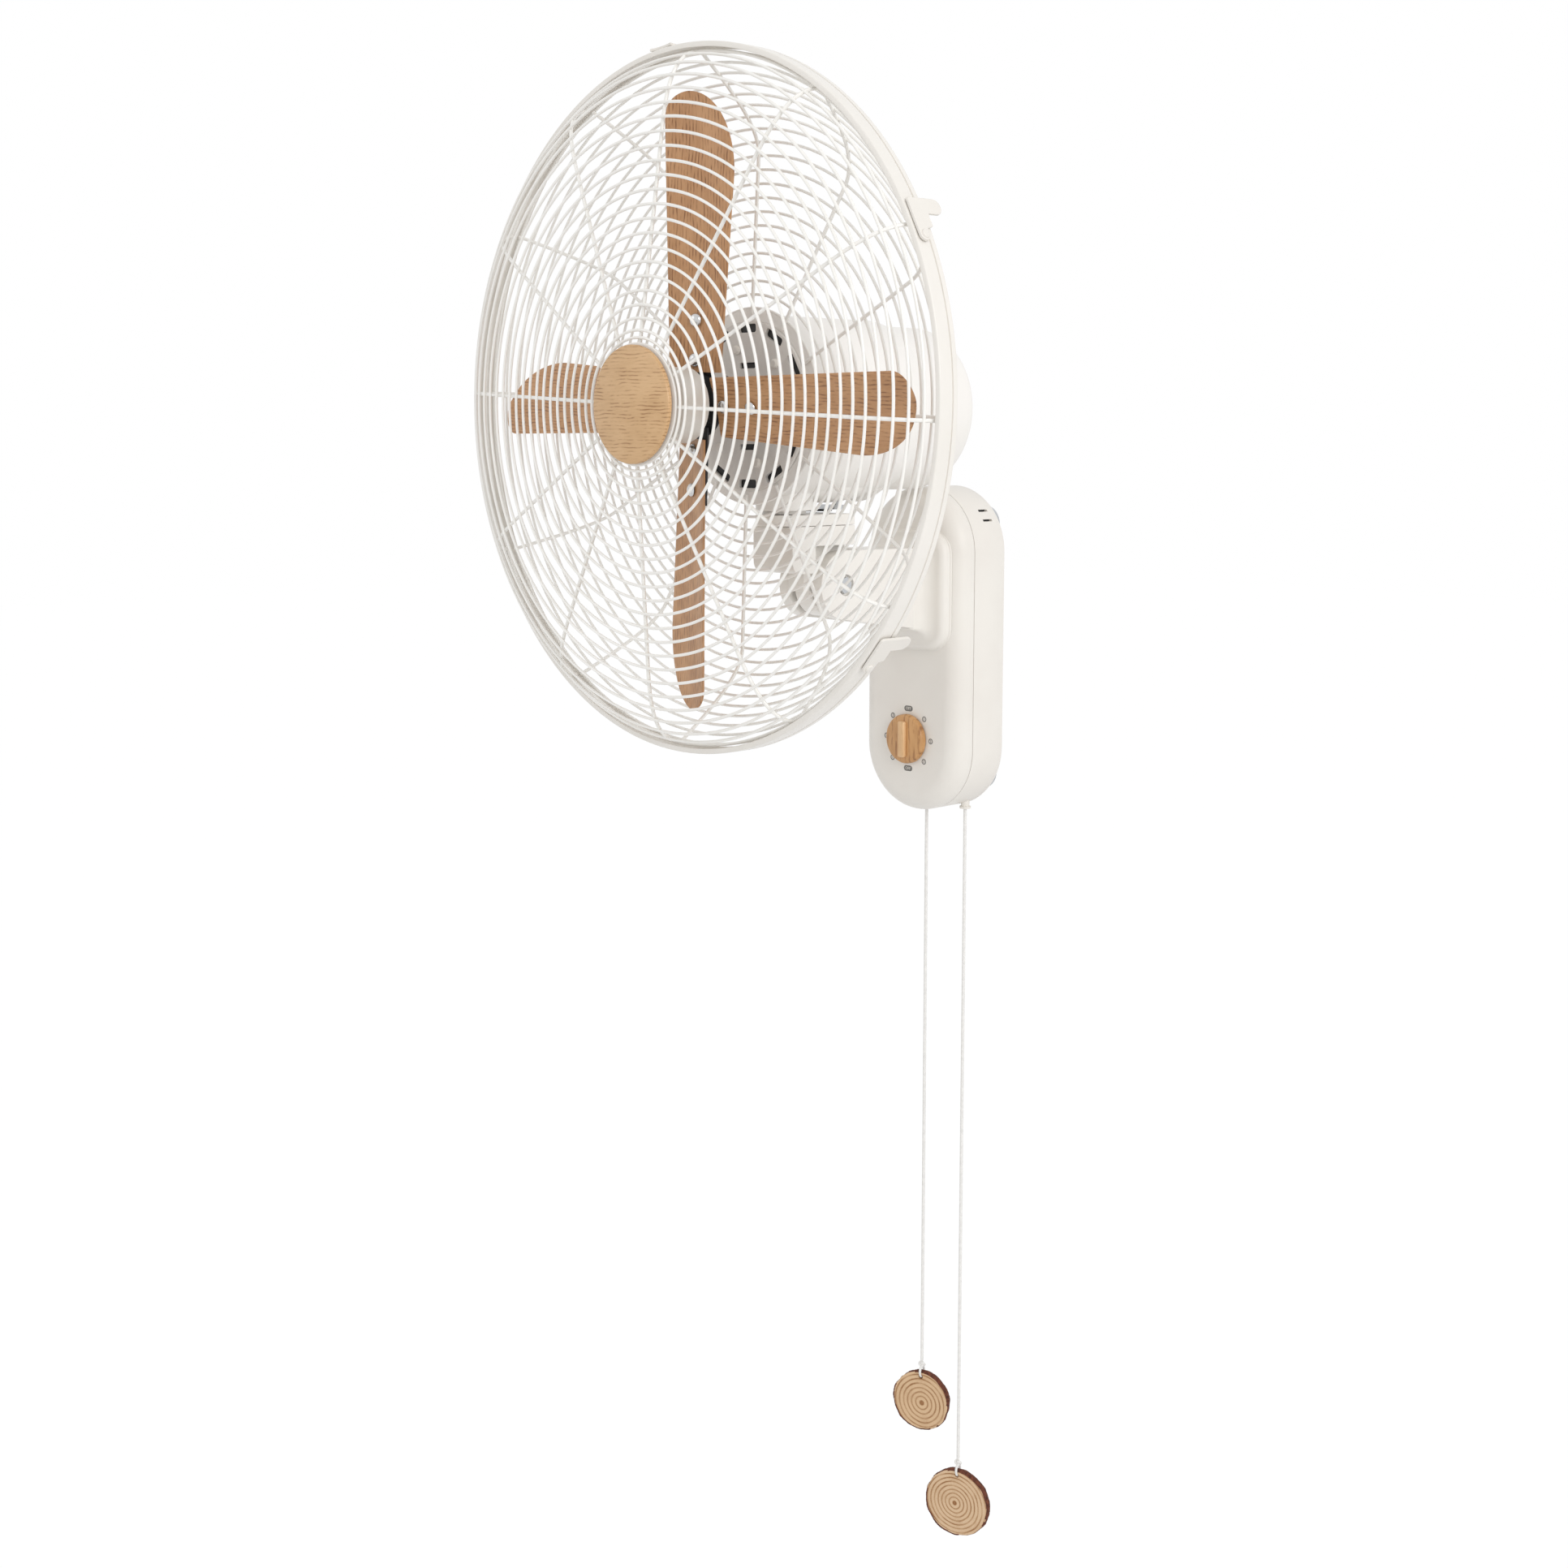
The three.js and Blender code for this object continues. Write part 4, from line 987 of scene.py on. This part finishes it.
# Wall box
boxSetup = {
    "width": 98,
    "height": 243,
    "front": -55,
    "seam": -37.7,
    "back": -3.3,
    "fillet": 14,
    "vents": [96.5, 103.5],
    "ventY": (-22, -12),
    "pad": {"width": 80, "height": 88, "z": 45.5, "rise": 7, "corner": 18, "soft": 5.5},
}


def addBox(setup):
    w, h, front, seam, pad = setup["width"], setup["height"], setup["front"], setup["seam"], setup["pad"]

    def outline(inset):
        return roundedOutline(w - 2 * inset, h - 2 * inset, w / 2 - inset, 24)

    def padOutline(inset):
        return roundedOutline(pad["width"] - 2 * inset, pad["height"] - 2 * inset, pad["corner"] - inset, 12)

    profile = [(setup["fillet"] + 2, front)] + quarter(setup["fillet"], front, 12)
    profile += [(0, seam - 0.8), (0.15, seam - 0.35), (0.6, seam - 0.25), (3, seam - 0.25)]
    padFront = front - pad["rise"]
    rise = [(pad["soft"] + 1, padFront)] + quarter(pad["soft"], padFront, 8)
    rise += [(-0.3, front - 0.5), (-1.0, front - 0.1), (-1.2, front + 1)]
    cover = together(layered(outline, profile), shifted(layered(padOutline, rise), 0, 0, pad["z"]))
    piece("boxFront", cover, "whitePlastic", "wall_box", ["front_cover"], sharp=40)
    rear = [(3, seam + 0.25), (0.6, seam + 0.25), (0.15, seam + 0.35), (0, seam + 0.8), (0, setup["back"] - 2.5),
            (0.7, setup["back"] - 0.8), (2.5, setup["back"]), (3.5, setup["back"])]
    case = piece("boxRear", layered(outline, rear), "whitePlastic", None, sharp=40)
    low, high = setup["ventY"]
    vents, paintedShadeSheets = [], []
    for sign in (-1, 1):
        for z in setup["vents"]:
            x = math.sqrt((w / 2) ** 2 - (z - (h - w) / 2) ** 2)  # on the box's rounded top
            ends = sorted((sign * (x - 5), sign * (x + 9)))
            vents.append(softBox(*ends, low, high, z - 0.8, z + 0.8, 0.3, 1))
            # Black sheets inside the vents: painted shade for their dark depth
            ends = sorted((sign * (x - 5.2), sign * (x - 3)))
            paintedShadeSheets.append(softBox(*ends, low - 0.5, high + 0.5, z - 1.3, z + 1.3, 0.2, 1))
    carve(case, together(*vents))
    smooth(case, 40)
    settle(case, "wall_box", ["rear_case"])
    # The vents' painted shade, as one black piece
    piece("ventPaintedShade", together(*paintedShadeSheets), "blackPlastic", "wall_box")


addBox(boxSetup)

# Dial
dialSetup = {
    "z": -66.5,
    "radius": 18.5,
    "ring": 22.6,
    "front": -55,
    "markRadius": 2.1,
    "pill": 8.4,
    "knobDepth": 5.2,
    "gripRise": 3.2,
    "gripHalf": 3.2,
    "labels": ["off", "1", "2", "3"],
    "wordSize": 3.0,
    "digitSize": 2.6,
    "printThick": 0.12,
}


def textShape(body, size, thick):
    curve = bpy.data.curves.new("print", "FONT")
    curve.body = body
    curve.size = size * mm
    curve.extrude = thick * mm
    curve.align_x, curve.align_y = "CENTER", "CENTER"
    obj = bpy.data.objects.new("print", curve)
    scene.collection.objects.link(obj)
    bpy.context.view_layer.update()
    mesh = bpy.data.meshes.new_from_object(obj.evaluated_get(bpy.context.evaluated_depsgraph_get()))
    bpy.data.objects.remove(obj)
    upright = Matrix.Rotation(math.radians(90), 4, "X")
    return moved(([v.co / mm for v in mesh.vertices], [list(p.vertices) for p in mesh.polygons]), upright)


def addDial(setup):
    marks, words = [], []
    y, half, thick = setup["front"], setup["markRadius"], setup["printThick"]
    pill = prism(roundedOutline(setup["pill"], 2 * half, half, 8), y - 0.1, y + 0.2, "Y")
    inner = half - 0.7
    ring = turn([(inner, y - 0.1), (half, y - 0.1), (half, y + 0.2), (inner, y + 0.2), (inner, y - 0.1)], 32)
    for i, label in enumerate(setup["labels"] * 2):  # round the dial twice
        a = math.radians(90 - 45 * i)
        x, z = setup["ring"] * math.cos(a), setup["ring"] * math.sin(a)
        if label == "off":
            marks.append(shifted(pill, x, 0, z))
            words.append(shifted(textShape("OFF", setup["wordSize"], thick), x, y - 0.14, z))
        else:
            marks.append(shifted(ring, x, 0, z))
            marks.append(shifted(textShape(label, setup["digitSize"], thick), x, y - 0.08, z))
    place = Vector((0, 0, setup["z"])) * mm
    piece("dialMarks", together(*marks), "markPrint", "wall_box", ["dial_plate"], place)
    piece("dialWords", together(*words), "markPale", "wall_box", place=place)
    r, back = setup["radius"], y - 0.6
    front = back - setup["knobDepth"]
    disc = [(0, front), (r - 2.2, front), (r - 0.7, front + 0.6), (r, front + 2.0), (r, back - 0.4), (r - 0.4, back),
            (0, back)]
    piece("dialKnob", turn(disc), "knobOak", "dial", ["control_knob"], place)
    half = setup["gripHalf"]
    grip = softBox(-half, half, front - setup["gripRise"], front + 0.5, -r + 5, r - 5, 1.3, 4)
    # The grip takes the lighter oak: a painted highlight on the raised bar
    piece("dialGrip", grip, "gripOak", "dial", place=place)


addDial(dialSetup)
print("wall box made")

# Finishes of the CAD pieces that stay as they are
keptFinishes = {
    "steel": ["wall_plate", "tilt_nut", "arm_screw_left", "arm_screw_right", "knob_shaft", "pivot_pin",
              "bearing_front", "bearing_rear", "motor_shaft", "crank_arm", "tilt_washer_left", "tilt_washer_right"],
    "blackPlastic": ["rotary_switch", "capacitor", "pull_switch_left", "pull_switch_right"],
    "greyPlastic": ["terminal_block", "rear_bracket"],
    "whitePlastic": ["mains_gland", "cord_eyelet_left", "cord_eyelet_right", "worm_wheel"],
    "darkMetal": ["stator_core", "rotor_core", "link_bar"],
    "copper": ["winding_front", "winding_rear"],
}
for finish, names in keptFinishes.items():
    for name in names:
        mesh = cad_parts[name].data
        mesh.materials.clear()
        mesh.materials.append(finishes[finish])

# Stage and light
stageSetup = {
    "floorZ": -0.9,
    "floorHalf": 12,
    "floorTone": 0.86,
    "floorGlow": 1.04,
    "floorShare": 0.9,  # of the glow, where the floor is seen directly
    "worldLight": 0.76,
    "aim": (0, -0.15, 0.05),
    "key": {"place": (3.4, -0.9, 1.4), "size": 2.2, "power": 47},
    "fill": {"place": (-1.6, -3.0, 1.6), "size": 2.4, "power": 9},
}


def seenDirectly(tree):  # camera, glossy and transmitted rays
    rays = tree.nodes.new("ShaderNodeLightPath").outputs
    seen = combine(tree, "MAXIMUM", rays["Is Camera Ray"], rays["Is Glossy Ray"])
    return combine(tree, "MAXIMUM", seen, rays["Is Transmission Ray"])


def mixed(tree, share, first, second, output):
    mix = tree.nodes.new("ShaderNodeMixShader")
    for source, target in zip((share, first.outputs[0], second.outputs[0]), mix.inputs):
        tree.links.new(source, target)
    tree.links.new(mix.outputs[0], tree.nodes.new(output).inputs[0])


def addStage(setup):
    white = (1, 1, 1, 1)
    world = bpy.data.worlds.new("studio")
    world.use_nodes = True
    tree = world.node_tree
    tree.nodes.clear()
    lit = addNode(tree, "ShaderNodeBackground", {"Color": white, "Strength": setup["worldLight"]})
    seen = addNode(tree, "ShaderNodeBackground", {"Color": white, "Strength": 1.0})
    mixed(tree, seenDirectly(tree), lit, seen, "ShaderNodeOutputWorld")
    scene.world = world
    material = bpy.data.materials.new("floorWhite")
    material.use_nodes = True
    tree = material.node_tree
    tree.nodes.clear()
    matt = addNode(tree, "ShaderNodeBsdfDiffuse", {"Color": (*[setup["floorTone"]] * 3, 1)})
    glow = addNode(tree, "ShaderNodeEmission", {"Color": white, "Strength": setup["floorGlow"]})
    share = combine(tree, "MULTIPLY", seenDirectly(tree), setup["floorShare"])
    mixed(tree, share, matt, glow, "ShaderNodeOutputMaterial")
    mesh = bpy.data.meshes.new("floor")
    half, z = setup["floorHalf"], setup["floorZ"]
    mesh.from_pydata([(-half, -half, z), (half, -half, z), (half, half, z), (-half, half, z)], [], [[0, 1, 2, 3]])
    mesh.materials.append(material)
    floor = bpy.data.objects.new("floor", mesh)
    scene.collection.objects.link(floor)
    for name in ("key", "fill"):
        one = setup[name]
        data = bpy.data.lights.new(name, "AREA")
        data.shape = "DISK"
        data.size = one["size"]
        data.energy = one["power"]
        lamp = bpy.data.objects.new(name, data)
        lamp.location = one["place"]
        lamp.rotation_euler = (Vector(setup["aim"]) - lamp.location).to_track_quat("-Z", "Y").to_euler()
        scene.collection.objects.link(lamp)


addStage(stageSetup)
print("stage lit")
